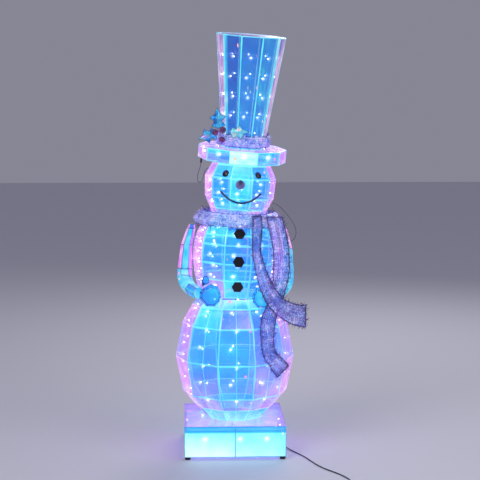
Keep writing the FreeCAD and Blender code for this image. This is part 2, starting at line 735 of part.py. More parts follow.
# link lead from the head up into the underside of the brim, on the left
hat_axis = hat_spot.Rotation.multVec(Vector(0, 0, 1))
hat_points = [
    Vector(-103.5, 20, 1238), Vector(-111, 20, 1238), Vector(-119, 20, 1233),
    Vector(-126, 20, 1221), Vector(-130, 20, 1205), Vector(-133, 20, 1190), Vector(-138, 20, 1179),
    Vector(-146, 20, 1174), Vector(-154, 20, 1178), Vector(-157, 20, 1188), Vector(-156, 20, 1204),
    Vector(-152, 20, 1222), Vector(-146, 20, 1239), Vector(-142, 20, 1251), Vector(-141, 20, 1261),
]
hat_tube, hat_run = cord_tube("hat_link_lead", hat_points, link_radius)
save("hat_link_lead", hat_tube)

head_axis = head_spot.Rotation.multVec(Vector(0, 0, 1))
neck_foot = neck_points[-1]
neck_plug = Part.makeCylinder(link_plug_radius, link_plug_length, neck_foot, head_axis * -1)
hat_foot = hat_points[-1]
brim_low = hat_spot.inverse().multVec(hat_foot).z
hat_plug_length = -brim_low - 6.0
hat_plug = Part.makeCylinder(link_plug_radius, hat_plug_length, hat_foot, hat_axis)
save("link_plugs", neck_plug, hat_plug)
neck_socket_top = neck_foot - head_axis * (link_plug_length + rest_gap)
save("neck_link_socket", Part.makeCylinder(link_plug_radius + 0.8, 24.0, neck_socket_top, head_axis * -1))
hat_socket_foot = hat_foot + hat_axis * (hat_plug_length + rest_gap)
save("hat_link_socket", Part.makeCylinder(link_plug_radius + 0.8, 5.4, hat_socket_foot, hat_axis))
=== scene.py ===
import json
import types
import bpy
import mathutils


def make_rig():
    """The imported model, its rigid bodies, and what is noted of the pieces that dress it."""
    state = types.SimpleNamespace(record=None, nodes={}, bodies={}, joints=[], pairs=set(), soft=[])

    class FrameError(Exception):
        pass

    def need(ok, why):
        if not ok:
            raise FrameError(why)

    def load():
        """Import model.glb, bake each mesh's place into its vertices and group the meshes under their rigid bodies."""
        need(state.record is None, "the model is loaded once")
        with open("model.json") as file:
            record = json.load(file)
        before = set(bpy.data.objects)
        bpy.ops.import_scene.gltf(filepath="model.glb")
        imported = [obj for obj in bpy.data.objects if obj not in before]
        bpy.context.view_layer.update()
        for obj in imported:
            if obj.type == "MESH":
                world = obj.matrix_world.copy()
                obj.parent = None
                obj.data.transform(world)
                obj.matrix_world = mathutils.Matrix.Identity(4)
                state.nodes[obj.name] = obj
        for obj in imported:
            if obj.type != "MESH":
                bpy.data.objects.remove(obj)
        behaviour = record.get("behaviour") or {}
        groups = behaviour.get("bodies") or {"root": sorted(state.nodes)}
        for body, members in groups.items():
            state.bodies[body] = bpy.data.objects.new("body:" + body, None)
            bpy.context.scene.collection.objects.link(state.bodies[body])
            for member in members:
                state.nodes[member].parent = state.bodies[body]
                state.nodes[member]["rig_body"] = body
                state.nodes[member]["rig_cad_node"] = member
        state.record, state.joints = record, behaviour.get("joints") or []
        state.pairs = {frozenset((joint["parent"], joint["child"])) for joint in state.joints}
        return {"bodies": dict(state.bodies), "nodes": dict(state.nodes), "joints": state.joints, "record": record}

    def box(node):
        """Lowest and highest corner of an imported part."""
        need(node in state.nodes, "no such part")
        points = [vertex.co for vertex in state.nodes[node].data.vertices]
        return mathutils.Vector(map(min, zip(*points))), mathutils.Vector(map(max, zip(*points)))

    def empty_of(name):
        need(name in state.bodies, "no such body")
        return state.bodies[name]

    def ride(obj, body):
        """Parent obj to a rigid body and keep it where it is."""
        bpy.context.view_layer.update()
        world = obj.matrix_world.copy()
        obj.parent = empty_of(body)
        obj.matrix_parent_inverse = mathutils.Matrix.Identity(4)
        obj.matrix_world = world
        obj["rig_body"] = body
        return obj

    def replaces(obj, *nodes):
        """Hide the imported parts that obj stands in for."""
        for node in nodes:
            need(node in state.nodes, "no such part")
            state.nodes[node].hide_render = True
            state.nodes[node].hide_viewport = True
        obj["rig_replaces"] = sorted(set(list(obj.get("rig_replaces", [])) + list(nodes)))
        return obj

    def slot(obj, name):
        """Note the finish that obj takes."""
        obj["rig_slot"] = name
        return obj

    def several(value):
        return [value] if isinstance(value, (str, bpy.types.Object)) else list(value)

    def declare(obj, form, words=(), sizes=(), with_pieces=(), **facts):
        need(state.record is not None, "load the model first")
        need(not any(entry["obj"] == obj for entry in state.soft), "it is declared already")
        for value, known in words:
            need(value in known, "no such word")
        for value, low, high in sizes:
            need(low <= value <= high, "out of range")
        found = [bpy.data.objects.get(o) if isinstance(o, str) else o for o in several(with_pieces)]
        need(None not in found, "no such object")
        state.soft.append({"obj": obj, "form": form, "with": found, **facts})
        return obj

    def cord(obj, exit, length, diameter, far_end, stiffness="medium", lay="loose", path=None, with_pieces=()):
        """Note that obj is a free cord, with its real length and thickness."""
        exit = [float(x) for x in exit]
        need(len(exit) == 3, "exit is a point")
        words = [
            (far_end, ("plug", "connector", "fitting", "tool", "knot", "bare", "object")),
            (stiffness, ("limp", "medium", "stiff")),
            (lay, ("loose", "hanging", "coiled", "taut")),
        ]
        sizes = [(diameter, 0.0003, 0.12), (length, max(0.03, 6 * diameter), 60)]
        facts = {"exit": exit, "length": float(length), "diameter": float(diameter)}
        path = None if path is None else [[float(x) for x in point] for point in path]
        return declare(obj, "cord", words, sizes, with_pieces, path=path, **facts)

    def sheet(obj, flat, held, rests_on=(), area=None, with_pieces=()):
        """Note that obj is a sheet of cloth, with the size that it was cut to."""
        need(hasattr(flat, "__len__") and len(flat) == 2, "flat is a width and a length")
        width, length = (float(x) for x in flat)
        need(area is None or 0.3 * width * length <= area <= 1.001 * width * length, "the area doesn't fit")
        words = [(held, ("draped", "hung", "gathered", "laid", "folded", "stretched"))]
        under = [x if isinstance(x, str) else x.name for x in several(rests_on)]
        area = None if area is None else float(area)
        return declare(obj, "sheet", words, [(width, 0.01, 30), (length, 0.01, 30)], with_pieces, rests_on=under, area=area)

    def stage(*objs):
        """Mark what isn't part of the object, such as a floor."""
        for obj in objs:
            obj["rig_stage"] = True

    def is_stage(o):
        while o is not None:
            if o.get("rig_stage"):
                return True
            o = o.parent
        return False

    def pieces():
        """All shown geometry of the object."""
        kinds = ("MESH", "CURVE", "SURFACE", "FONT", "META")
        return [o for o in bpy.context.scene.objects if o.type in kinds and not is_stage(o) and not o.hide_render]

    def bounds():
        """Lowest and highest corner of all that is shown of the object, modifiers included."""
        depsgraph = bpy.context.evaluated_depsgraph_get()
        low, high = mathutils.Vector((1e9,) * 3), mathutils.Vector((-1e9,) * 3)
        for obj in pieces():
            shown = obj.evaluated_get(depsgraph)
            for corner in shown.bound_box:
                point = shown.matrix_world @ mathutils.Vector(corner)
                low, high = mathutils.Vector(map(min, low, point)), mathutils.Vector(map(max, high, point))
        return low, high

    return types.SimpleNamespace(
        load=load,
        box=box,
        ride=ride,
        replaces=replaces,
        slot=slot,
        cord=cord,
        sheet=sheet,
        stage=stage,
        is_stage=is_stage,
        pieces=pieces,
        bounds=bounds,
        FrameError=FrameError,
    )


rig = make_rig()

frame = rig.load()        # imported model: rigid pieces, bodies and joints

import json
import math

import bmesh
import bpy
import numpy as np
from mathutils import Vector, noise
from mathutils.bvhtree import BVHTree

for spare in [o for o in bpy.data.objects if "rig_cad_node" not in o and not o.name.startswith("body:")]:
    bpy.data.objects.remove(spare)
print("frame loaded")
cadLow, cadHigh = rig.bounds()
millimetre = 0.001


# small helpers
def linear(code):
    parts = [int(code[k:k + 2], 16) / 255 for k in (1, 3, 5)]
    return tuple(c / 12.92 if c <= 0.04045 else ((c + 0.055) / 1.055) ** 2.4 for c in parts) + (1.0,)


def addNode(tree, kind, links=None, stops=None, **settings):
    # links holds socket name or number -> value or another node's output
    item = tree.nodes.new(kind)
    for key, value in settings.items():
        setattr(item, key, value)
    for key, value in (links or {}).items():
        if isinstance(value, bpy.types.NodeSocket):
            tree.links.new(value, item.inputs[key])
        else:
            item.inputs[key].default_value = value
    if stops:
        band = item.color_ramp.elements
        while len(band) < len(stops):
            band.new(0.5)
        for entry, (place, code) in zip(band, stops):
            entry.position = place
            entry.color = linear(code)
    return item


def newMaterial(name, **sockets):
    material = bpy.data.materials.new(name)
    material.use_nodes = True
    shader = material.node_tree.nodes["Principled BSDF"]
    for key, value in sockets.items():
        shader.inputs[key.replace("_", " ")].default_value = value
    return material, material.node_tree, shader


def meshObject(name, mesh):
    piece = bpy.data.objects.new(name, mesh)
    bpy.context.scene.collection.objects.link(piece)
    return piece


def dress(piece, material):
    piece.data.materials.clear()
    piece.data.materials.append(material)


def bake(piece):
    # the evaluated result as a plain mesh, with the modifiers gone
    shown = piece.evaluated_get(bpy.context.evaluated_depsgraph_get())
    mesh = bpy.data.meshes.new_from_object(shown)
    piece.modifiers.clear()
    piece.data = mesh
    return piece


def middle(node):
    low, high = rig.box(node)
    return (low + high) / 2


# camera, at a visitor's eye height on the lawn
cameraPlace = {"at": (-0.2003, -5.9955, 1.6163), "pan": 2.181, "down": 6.585, "lens": 103.7}
camera = bpy.data.objects.new("camera", bpy.data.cameras.new("camera"))
camera.data.lens = cameraPlace["lens"]
camera.data.sensor_width = 36.0
camera.location = cameraPlace["at"]
camera.rotation_euler = (math.radians(90 - cameraPlace["down"]), 0, math.radians(-cameraPlace["pan"]))
bpy.context.scene.collection.objects.link(camera)
bpy.context.scene.camera = camera


# free leads
# extruded PVC over fine copper, soft gloss
def leadMaterial(name, code, shine):
    material, tree, shader = newMaterial(name, Roughness=shine, IOR=1.54)
    place = addNode(tree, "ShaderNodeTexCoord")
    mottle = addNode(tree, "ShaderNodeTexNoise", {"Vector": place.outputs["Object"], "Scale": 90.0,
                                                  "Detail": 3.0})
    shade = addNode(tree, "ShaderNodeMix", {0: mottle.outputs["Fac"], 6: linear(code[0]),
                                            7: linear(code[1])},
                    data_type="RGBA")
    tree.links.new(shade.outputs[2], shader.inputs["Base Color"])
    ripple = addNode(tree, "ShaderNodeBump", {"Strength": 0.15, "Distance": 0.0003,
                                              "Height": mottle.outputs["Fac"]})
    tree.links.new(ripple.outputs["Normal"], shader.inputs["Normal"])
    return material


blackSheath = leadMaterial("blackPvcSheath", ("#191722", "#2b2836"), 0.38)
smokeSheath = leadMaterial("smokePvcSheath", ("#2c2742", "#443d5e"), 0.32)


def softLine(name, points, radius):
    curve = bpy.data.curves.new(name, "CURVE")
    curve.dimensions = "3D"
    spline = curve.splines.new("NURBS")
    spline.points.add(len(points) - 1)
    for spot, entry in zip(points, spline.points):
        entry.co = (*spot, 1.0)
    spline.order_u = 3
    spline.use_endpoint_u = True
    spline.resolution_u = 6
    curve.bevel_depth = radius
    curve.bevel_resolution = 3
    curve.use_fill_caps = True
    return meshObject(name, curve)


def inMetres(points):
    return [Vector(p) * millimetre for p in points]


powerLead = {
    "radius": 0.0025, "length": 3.0,
    "run": [(222, -26, 6.0), (235, -52, 5.5), (251, -88, 3.6), (275, -133, 2.8), (302, -194, 2.8),
            (322, -259, 2.8), (343, -322, 2.8), (370, -381, 2.8), (409, -437, 2.8), (440, -496, 2.8),
            (456, -545, 2.8), (460, -590, 2.8), (457, -631, 2.8)],
    "tail": [(502, -693, 2.8), (522, -687, 2.8), (542, -682, 8.0), (560, -680, 12.0)],
    "pointsPerTurn": 16, "arrives": 187, "leaves": 264, "step": 5.1, "rise": 5.0,
    "inner": 18.0, "outside": 38.8, "shiftFrom": 100, "shiftOver": 60,
}


def eased(share):
    share = min(1.0, max(0.0, share))
    return share * share * (3 - 2 * share)


def coilTurns(lead):
    # three levels of four turns, then one turn out across the top and down the outside
    centre = middle("power_lead_coil")
    columns = [3, 2, 1, 0, 0, 1, 2, 3, 3, 2, 1, 0]
    window = lead["shiftOver"] / 360
    first = (lead["arrives"] - lead["shiftFrom"]) / 360
    last = len(columns) + 1 + (lead["leaves"] - lead["shiftFrom"]) / 360
    count = round((last - first) * lead["pointsPerTurn"])
    points = []
    for k in range(count + 1):
        turn = first + (last - first) * k / count
        whole = int(turn)
        part = turn - whole
        if whole < len(columns):
            before = columns[max(whole - 1, 0)]
            column = before + (columns[whole] - before) * eased(part / window)
            radius = lead["inner"] + lead["step"] * column
            climb = eased((part - 1 + window) / window) if whole % 4 == 3 else 0.0
            level = whole // 4 + climb
        else:
            beyond = turn - len(columns)
            radius = lead["inner"] + (lead["outside"] - lead["inner"]) * eased(beyond)
            level = 3 - 3 * eased((beyond - 1) / 0.42)
        angle = math.radians(lead["shiftFrom"] + 360 * turn)
        height = 2.8 + lead["rise"] * level
        points.append(Vector((centre.x + radius * millimetre * math.cos(angle),
                              centre.y + radius * millimetre * math.sin(angle), height * millimetre)))
    return points


leadPoints = inMetres(powerLead["run"]) + coilTurns(powerLead) + inMetres(powerLead["tail"])
powerCord = softLine("powerLead", leadPoints, powerLead["radius"])
dress(powerCord, blackSheath)
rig.ride(powerCord, "base")
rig.replaces(powerCord, "power_lead", "power_lead_coil")
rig.slot(powerCord, "lead_sheath")
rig.cord(powerCord, exit=leadPoints[0], length=powerLead["length"], diameter=0.005, far_end="plug",
        stiffness="medium", lay="loose",
        with_pieces=["lead_gland", "power_adapter", "adapter_pins"])

linkLeads = {
    "neckLink": {
        "body": "head", "node": "neck_link_lead", "length": 0.277, "plugs": ["link_plugs"],
        "points": [(152.6, 35, 1084), (164.5, 38.5, 1084), (178, 44, 1081), (200, 51, 1070), (221, 57,
                                                            1049),
                   (243, 60, 1023), (264, 62, 995), (277, 63, 966), (279, 65, 941), (272, 67, 921),
                   (259, 70, 910), (249, 72, 900), (247.5, 72, 888)],
    },
    "hatLink": {
        "body": "head", "node": "hat_link_lead", "length": 0.178, "plugs": ["link_plugs"],
        "points": [(-103.5, 20, 1238), (-111, 20, 1238), (-119, 20, 1233), (-126, 20, 1221), (-130, 20,
                                                            1205),
                   (-133, 20, 1190), (-138, 20, 1179), (-146, 20, 1174), (-154, 20, 1178), (-157, 20, 1188),
                   (-156, 20, 1204), (-152, 20, 1222), (-146, 20, 1239), (-142, 20, 1251), (-141, 20,
                                                            1261)],
    },
}
for name, lead in linkLeads.items():
    points = inMetres(lead["points"])
    piece = softLine(name, points, 0.0012)
    dress(piece, smokeSheath)
    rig.ride(piece, lead["body"])
    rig.replaces(piece, lead["node"])
    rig.slot(piece, "clear_lead")
    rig.cord(piece, exit=points[0], length=lead["length"], diameter=0.0024, far_end="plug",
            stiffness="limp", lay="loose", with_pieces=lead["plugs"])
print("cords made")


# sections of the figure: where each one's own axis is
sections = ("base", "lower_body", "torso", "head", "hat")
liftAxis = {joint["child"]: Vector(joint["axis"]).normalized() for joint in frame["joints"]}


def sectionAxis(section):
    return middle(section + "_frame"), liftAxis.get(section, Vector((0, 0, 1)))


def cleanCopy(node):
    # flat facets of a CAD node as whole faces
    mesh = bmesh.new()
    mesh.from_mesh(frame["nodes"][node].data)
    bmesh.ops.remove_doubles(mesh, verts=mesh.verts, dist=1e-5)
    bmesh.ops.dissolve_limit(mesh, angle_limit=math.radians(0.8), verts=mesh.verts, edges=mesh.edges)
    mesh.normal_update()
    return mesh


def shells(mesh):
    left = set(mesh.faces)
    while left:
        group = [left.pop()]
        for face in group:
            for edge in face.edges:
                for other in edge.link_faces:
                    if other in left:
                        left.discard(other)
                        group.append(other)
        yield group


def lightSpots(section):
    # centre of every small lamp of a light string
    mesh = cleanCopy(section + "_bulbs")
    spots = []
    for group in shells(mesh):
        corners = {v for face in group for v in face.verts}
        spots.append(sum((v.co for v in corners), Vector()) / len(corners))
    mesh.free()
    return np.array(spots)


lamps = {section: lightSpots(section) for section in sections}
print("lamps found:", {section: len(spots) for section, spots in lamps.items()})


# film covers
# column of a facet by the direction it faces; the front one faces -Y
def columnOf(normal, axis):
    flat = normal - axis * normal.dot(axis)
    angle = math.degrees(math.atan2(flat.y, flat.x)) % 360
    for name, place in (("centre", 270), ("left", 234), ("right", 306), ("back", 90), ("backLeft", 126),
                        ("backRight", 54)):
        if abs(angle - place) < 18:
            return name
    return "side"


def outerFaces(mesh, rule, base, axis):
    # the faces that show: away from the section's axis, on top of a flat plate, or the outer shell
    chosen = []
    for group in shells(mesh):
        volume = sum(face.calc_center_median().dot(face.normal) * face.calc_area() for face in group)
        for face in group:
            if face.calc_area() < 2e-4:
                continue
            out = face.calc_center_median() - base
            out -= axis * out.dot(axis)
            upward = face.normal.dot(axis)
            if rule == "shell" and volume > 0:
                chosen.append(face)
            elif rule == "walls" and (abs(upward) < 0.9 and face.normal.dot(out) > 0 or upward > 0.99):
                chosen.append(face)
            elif rule == "plate" and upward > 0.99:
                chosen.append(face)
    return chosen


def crumple(point, look, across, gap):
    # film lies flat at its wires and creases a little between them
    rest = eased(gap / 0.014)
    scaled = point * look["creaseScale"]
    fine = noise.noise(scaled) * 0.7 + noise.noise(scaled * 2.7) * 0.3
    depth = look["crease"] * (fine - 0.45)
    if look.get("pleats"):
        fold = math.sin(across * look["pleats"] + 2.2 * noise.noise(point * 14.0))
        depth += look["pleatDepth"] * (fold - 1.0) * 0.5
    return depth * rest


def gridFace(sheet, layers, corners, columns, rows, look, shade):
    # corners run round from the lower left one
    low, right, top, left = corners
    normal = (right - low).cross(left - low).normalized()
    wide = ((right - low).length + (top - left).length) / 2
    tall = ((left - low).length + (top - right).length) / 2
    net = []
    for r in range(rows + 1):
        v = r / rows
        line = []
        for c in range(columns + 1):
            u = c / columns
            spot = low.lerp(right, u).lerp(left.lerp(top, u), v)
            sideGap = min(u, 1 - u) * wide
            rowGap = min(v, 1 - v) * tall
            spot = spot + normal * crumple(spot, look, (u - 0.5) * wide, min(sideGap, rowGap))
            vert = sheet.verts.new(spot)
            vert[layers["sideGap"]] = sideGap
            vert[layers["rowGap"]] = rowGap
            vert[layers["seamGap"]] = abs(u - 0.5) * wide
            line.append(vert)
        net.append(line)
    for r in range(rows):
        for c in range(columns):
            face = sheet.faces.new((net[r][c], net[r][c + 1], net[r + 1][c + 1], net[r + 1][c]))
            face.smooth = True
            for loop, (du, dv) in zip(face.loops, ((0, 0), (1, 0), (1, 1), (0, 1))):
                u, v = (c + du) / columns, (r + dv) / rows
                loop[layers["shift"]] = shade(u, v, (c + 0.5) / columns)
                loop[layers["panel"]].uv = ((u - 0.5) * wide, v * tall)


def looseFaces(sheet, layers, faces, step, shade):
    # plates and rounded ends: triangles split until they are fine enough
    part = bmesh.new()
    for face in faces:
        part.faces.new([part.verts.new(v.co) for v in face.verts])
    bmesh.ops.remove_doubles(part, verts=part.verts, dist=1e-5)
    bmesh.ops.triangulate(part, faces=part.faces)
    for k in range(7):
        long = [edge for edge in part.edges if edge.calc_length() > step]
        if not long:
            break
        bmesh.ops.subdivide_edges(part, edges=long, cuts=1, use_grid_fill=False)
        bmesh.ops.triangulate(part, faces=part.faces)
    copies = {}
    rim = [v.co.copy() for v in part.verts if v.is_boundary]
    for v in part.verts:
        made = sheet.verts.new(v.co)
        made[layers["sideGap"]] = min(((v.co - spot).length for spot in rim), default=1.0)
        made[layers["rowGap"]] = made[layers["sideGap"]]
        made[layers["seamGap"]] = 1.0
        copies[v] = made
    for face in part.faces:
        made = sheet.faces.new([copies[v] for v in face.verts])
        made.smooth = True
        for loop in made.loops:
            loop[layers["shift"]] = shade(0.5, 0.5, 0.5)
            loop[layers["panel"]].uv = (loop.vert.co.x, loop.vert.co.y)
    part.free()


def glowOf(points, spots, reach):
    # how brightly the lamps behind light each point of a sheet
    total = np.zeros(len(points))
    for spot in spots:
        away = np.linalg.norm(points - spot, axis=1)
        total += np.exp(-(away / reach) ** 2) + 0.16 * np.exp(-(away / (3.2 * reach)) ** 2)
    return np.minimum(total, 1.6)


def orderedCorners(face, axis):
    corners = [v.co.copy() for v in face.verts]
    lowest = min(range(4), key=lambda k: (corners[k] + corners[(k + 1) % 4]).dot(axis))
    return corners[lowest:] + corners[:lowest]


def filmPiece(name, node, section, look):
    base, axis = sectionAxis(section)
    source = cleanCopy(node)
    faces = outerFaces(source, look["rule"], base, axis)
    quads = [face for face in faces if len(face.verts) == 4 and look["rule"] != "plate"
             and abs(face.normal.dot(axis)) < 0.97]
    rest = [face for face in faces if face not in quads]
    columns = {}
    for face in quads:
        columns.setdefault(columnOf(face.normal, axis), []).append(face)
    sheet = bmesh.new()
    layers = {"sideGap": sheet.verts.layers.float.new("sideGap"),
              "rowGap": sheet.verts.layers.float.new("rowGap"),
              "seamGap": sheet.verts.layers.float.new("seamGap"),
              "shift": sheet.loops.layers.float.new("shift"),
              "panel": sheet.loops.layers.uv.new("panel")}
    for column, members in columns.items():
        heights = sorted({round(face.calc_center_median().dot(axis), 2) for face in members})
        tints = look["tint"].get(column) or look["tint"]["side"]
        for face in members:
            height = face.calc_center_median().dot(axis)
            row = min(range(len(heights)), key=lambda k: abs(heights[k] - height))
            start, end = tints[min(row * len(tints) // len(heights), len(tints) - 1)]
            corners = orderedCorners(face, axis)
            tall = (corners[3] - corners[0]).length
            rows = look["rows"] or max(2, round(tall / look["step"]))
            rowLook = dict(look, **look.get("rowLooks", {}).get(row, {}))
            drift = 0.05 * noise.noise(face.calc_center_median() * 31.0)
            strip = look.get("strips", {}).get(column, (0.0, 1.0, 0.0))

            def shade(u, v, cell, a=start, b=end, d=drift, s=strip):
                if not s[0] < cell < s[1]:
                    return s[2]
                if v > look.get("bandFrom", 2.0) and column != "side":
                    return look["bandTint"]
                return a + (b - a) * v + d + 0.06 * (u - 0.5)

            gridFace(sheet, layers, corners, look["columns"], rows, rowLook, shade)
    if rest:
        looseFaces(sheet, layers, rest, look["step"] * 1.4, lambda u, v, cell: look["plateTint"])
    source.free()
    bmesh.ops.remove_doubles(sheet, verts=sheet.verts, dist=2e-5)
    mesh = bpy.data.meshes.new(name)
    sheet.to_mesh(mesh)
    sheet.free()
    points = np.array([v.co for v in mesh.vertices])
    glow = mesh.attributes.new("glow", "FLOAT", "POINT")
    glow.data.foreach_set("value", glowOf(points, lamps[section], look["glowReach"]))
    piece = meshObject(name, mesh)
    wall = piece.modifiers.new("filmWall", "SOLIDIFY")
    wall.thickness = 0.0006
    wall.offset = -1.0
    bake(piece)
    dress(piece, look["material"])
    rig.ride(piece, section)
    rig.replaces(piece, node)
    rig.slot(piece, look["slot"])
    return piece


# heat-sealed dichroic PET film: one sheet shows cyan or blue face on and pink where it turns away,
# with a saturated double layer where it is folded over the wires and stray coloured glints
def dichroicFilm(name, look):
    material, tree, shader = newMaterial(name, Roughness=look["roughness"], IOR=1.57,
                                         Specular_IOR_Level=0.6, Coat_Weight=0.4, Coat_Roughness=0.08,
                                         Thin_Film_Thickness=look["nanometres"], Thin_Film_IOR=1.62)
    place = addNode(tree, "ShaderNodeTexCoord").outputs["Object"]
    shift = addNode(tree, "ShaderNodeAttribute", attribute_name="shift").outputs["Fac"]
    glow = addNode(tree, "ShaderNodeAttribute", attribute_name="glow").outputs["Fac"]
    sideGap = addNode(tree, "ShaderNodeAttribute", attribute_name="sideGap").outputs["Fac"]
    rowGap = addNode(tree, "ShaderNodeAttribute", attribute_name="rowGap").outputs["Fac"]
    drawn = addNode(tree, "ShaderNodeMapping", {"Vector": place, "Scale": look["streak"]})
    streak = addNode(tree, "ShaderNodeTexNoise", {"Vector": drawn.outputs["Vector"], "Scale": 1.0,
                                                  "Detail": 4.0,
                                                  "Roughness": 0.6, "Distortion": 0.4}).outputs["Fac"]
    patch = addNode(tree, "ShaderNodeTexNoise", {"Vector": place, "Scale": 11.0,
                                                 "Detail": 2.0}).outputs["Fac"]
    wander = addNode(tree, "ShaderNodeMath", {0: patch, 1: 0.5}, operation="SUBTRACT").outputs[0]
    moved = addNode(tree, "ShaderNodeMath", {0: wander, 1: look["wander"], 2: shift},
                    operation="MULTIPLY_ADD")
    veined = addNode(tree, "ShaderNodeMath", {0: streak, 1: 0.5}, operation="SUBTRACT").outputs[0]
    tint = addNode(tree, "ShaderNodeMath", {0: veined, 1: look["vein"], 2: moved.outputs[0]},
                   operation="MULTIPLY_ADD").outputs[0]
    colour = addNode(tree, "ShaderNodeValToRGB", {"Fac": tint}, stops=look["stops"]).outputs["Color"]

    # folded-over strips along the wires, and a welded seam down the middle of some panels
    uneven = addNode(tree, "ShaderNodeMapRange", {"Value": patch, 1: 0.35, 2: 0.68,
                                                  3: -0.4 * look["hem"][0],
                                                  4: look["hemSpread"]}).outputs[0]
    sideLess = addNode(tree, "ShaderNodeMath", {0: sideGap, 1: uneven}, operation="SUBTRACT").outputs[0]
    rowLess = addNode(tree, "ShaderNodeMath", {0: rowGap, 1: uneven}, operation="SUBTRACT").outputs[0]
    sideHem = addNode(tree, "ShaderNodeMapRange", {"Value": sideLess, 1: look["hem"][0],
                                                   2: look["hem"][0] - 0.0015,
                                                   3: 0.0, 4: 1.0}).outputs[0]
    rowHem = addNode(tree, "ShaderNodeMapRange", {"Value": rowLess, 1: look["hem"][1],
                                                  2: look["hem"][1] - 0.0015,
                                                  3: 0.0, 4: 1.0}).outputs[0]
    seamGap = addNode(tree, "ShaderNodeAttribute", attribute_name="seamGap").outputs["Fac"]
    seam = addNode(tree, "ShaderNodeMapRange", {"Value": seamGap, 1: look["seam"], 2: look["seam"] * 0.5,
                                                3: 0.0, 4: 1.0}).outputs[0]
    edges = addNode(tree, "ShaderNodeMath", {0: sideHem, 1: rowHem}, operation="MAXIMUM").outputs[0]
    hem = addNode(tree, "ShaderNodeMath", {0: edges, 1: seam}, operation="MAXIMUM").outputs[0]
    hemShare = addNode(tree, "ShaderNodeMath", {0: hem, 1: look["hemShare"]},
                       operation="MULTIPLY").outputs[0]
    lined = addNode(tree, "ShaderNodeMix", {0: hemShare, 6: colour, 7: linear(look["hemColour"])},
                    data_type="RGBA").outputs[2]

    # glints: the lamps seen again in warm colours through the film's creases
    spread = addNode(tree, "ShaderNodeMapping", {"Vector": place, "Scale": look["glintScale"]})
    cells = addNode(tree, "ShaderNodeTexVoronoi", {"Vector": spread.outputs["Vector"], "Scale": 1.0})
    cellTone = addNode(tree, "ShaderNodeSeparateColor", {"Color": cells.outputs["Color"]})
    rare = addNode(tree, "ShaderNodeMath", {0: cellTone.outputs[0], 1: look["glintRarity"]},
                   operation="GREATER_THAN").outputs[0]
    near = addNode(tree, "ShaderNodeMapRange", {"Value": cells.outputs["Distance"], 1: 0.34, 2: 0.12,
                                                3: 0.0, 4: 1.0}).outputs[0]
    glint = addNode(tree, "ShaderNodeMath", {0: rare, 1: near}, operation="MULTIPLY").outputs[0]
    glintColour = addNode(tree, "ShaderNodeValToRGB", {"Fac": cellTone.outputs[1]},
                          stops=[(0.0, "#ff5fa8"), (0.4, "#ff7fd0"), (0.6, "#ffb27a"), (0.8, "#ffe08a"),
                                 (1.0, "#b7ffe6")]).outputs["Color"]
    flecked = addNode(tree, "ShaderNodeMix", {0: glint, 6: lined, 7: glintColour},
                      data_type="RGBA").outputs[2]
    halo = addNode(tree, "ShaderNodeMapRange", {"Value": glow, 1: 0.25, 2: 1.25, 3: 0.0,
                                                4: 0.92}).outputs[0]
    lit = addNode(tree, "ShaderNodeMix", {0: halo, 6: flecked, 7: linear("#f4fbff")},
                  data_type="RGBA").outputs[2]

    # light that the film passes on from inside
    vary = addNode(tree, "ShaderNodeMapRange", {"Value": streak, 1: 0.25, 2: 0.75,
                                                3: look["light"] * (1 - look["depth"]),
                                                4: look["light"] * (1 + look["depth"])}).outputs[0]
    bloom = addNode(tree, "ShaderNodeMath", {0: glow, 1: look["bloom"], 2: vary},
                    operation="MULTIPLY_ADD").outputs[0]
    edged = addNode(tree, "ShaderNodeMath", {0: hem, 1: look["hemLight"], 2: bloom},
                    operation="MULTIPLY_ADD").outputs[0]
    power = addNode(tree, "ShaderNodeMath", {0: glint, 1: 0.5, 2: edged},
                    operation="MULTIPLY_ADD").outputs[0]
    tree.links.new(lit, shader.inputs["Base Color"])
    tree.links.new(lit, shader.inputs["Emission Color"])
    tree.links.new(power, shader.inputs["Emission Strength"])
    cover = addNode(tree, "ShaderNodeMath", {0: hem, 1: look["hemCover"], 2: look["cover"]},
                    operation="MULTIPLY_ADD")
    solid = addNode(tree, "ShaderNodeMath", {0: glow, 1: 0.12, 2: cover.outputs[0]},
                    operation="MULTIPLY_ADD",
                    use_clamp=True).outputs[0]
    tree.links.new(solid, shader.inputs["Alpha"])
    creases = addNode(tree, "ShaderNodeTexNoise", {"Vector": place, "Scale": 95.0, "Detail": 3.0,
                                                   "Distortion": 0.8}).outputs["Fac"]
    bump = addNode(tree, "ShaderNodeBump", {"Strength": 0.5, "Distance": 0.0014, "Height": creases})
    tree.links.new(bump.outputs["Normal"], shader.inputs["Normal"])
    return material


bodyStops = [(0.0, "#e6fcff"), (0.14, "#8ff0fb"), (0.26, "#35cdf6"), (0.38, "#1ea2f6"), (0.50, "#2b86f2"),
             (0.62, "#6f90f0"), (0.74, "#a69af4"), (0.85, "#cf8df4"), (0.93, "#e695ee"), (1.0, "#f6c4f4")]
crownStops = [(0.0, "#c8f6f2"), (0.16, "#3fc6dc"), (0.32, "#2b8fd2"), (0.50, "#2470c2"), (0.68, "#2552b0"),
              (0.80, "#5a62c0"), (0.92, "#b48fc8"), (1.0, "#d9b2d6")]
plainFilm = {
    "rule": "walls", "slot": "film_cyan", "columns": 12, "rows": None, "step": 0.011,
    "crease": 0.0020, "creaseScale": 26.0, "glowReach": 0.010, "plateTint": 0.88,
    "roughness": 0.16, "nanometres": 420.0, "streak": (30.0, 30.0, 9.0), "wander": 0.34, "vein": 0.16,
    "stops": bodyStops, "hem": (0.004, 0.004), "hemSpread": 0.003, "seam": 0.0, "hemColour": "#7df0f6",
    "hemShare": 0.5, "hemLight": 0.06, "hemCover": 0.20, "cover": 0.44, "light": 0.62, "depth": 0.30,
    "bloom": 0.55,
    "glintScale": (46.0, 46.0, 40.0), "glintRarity": 0.955,
}
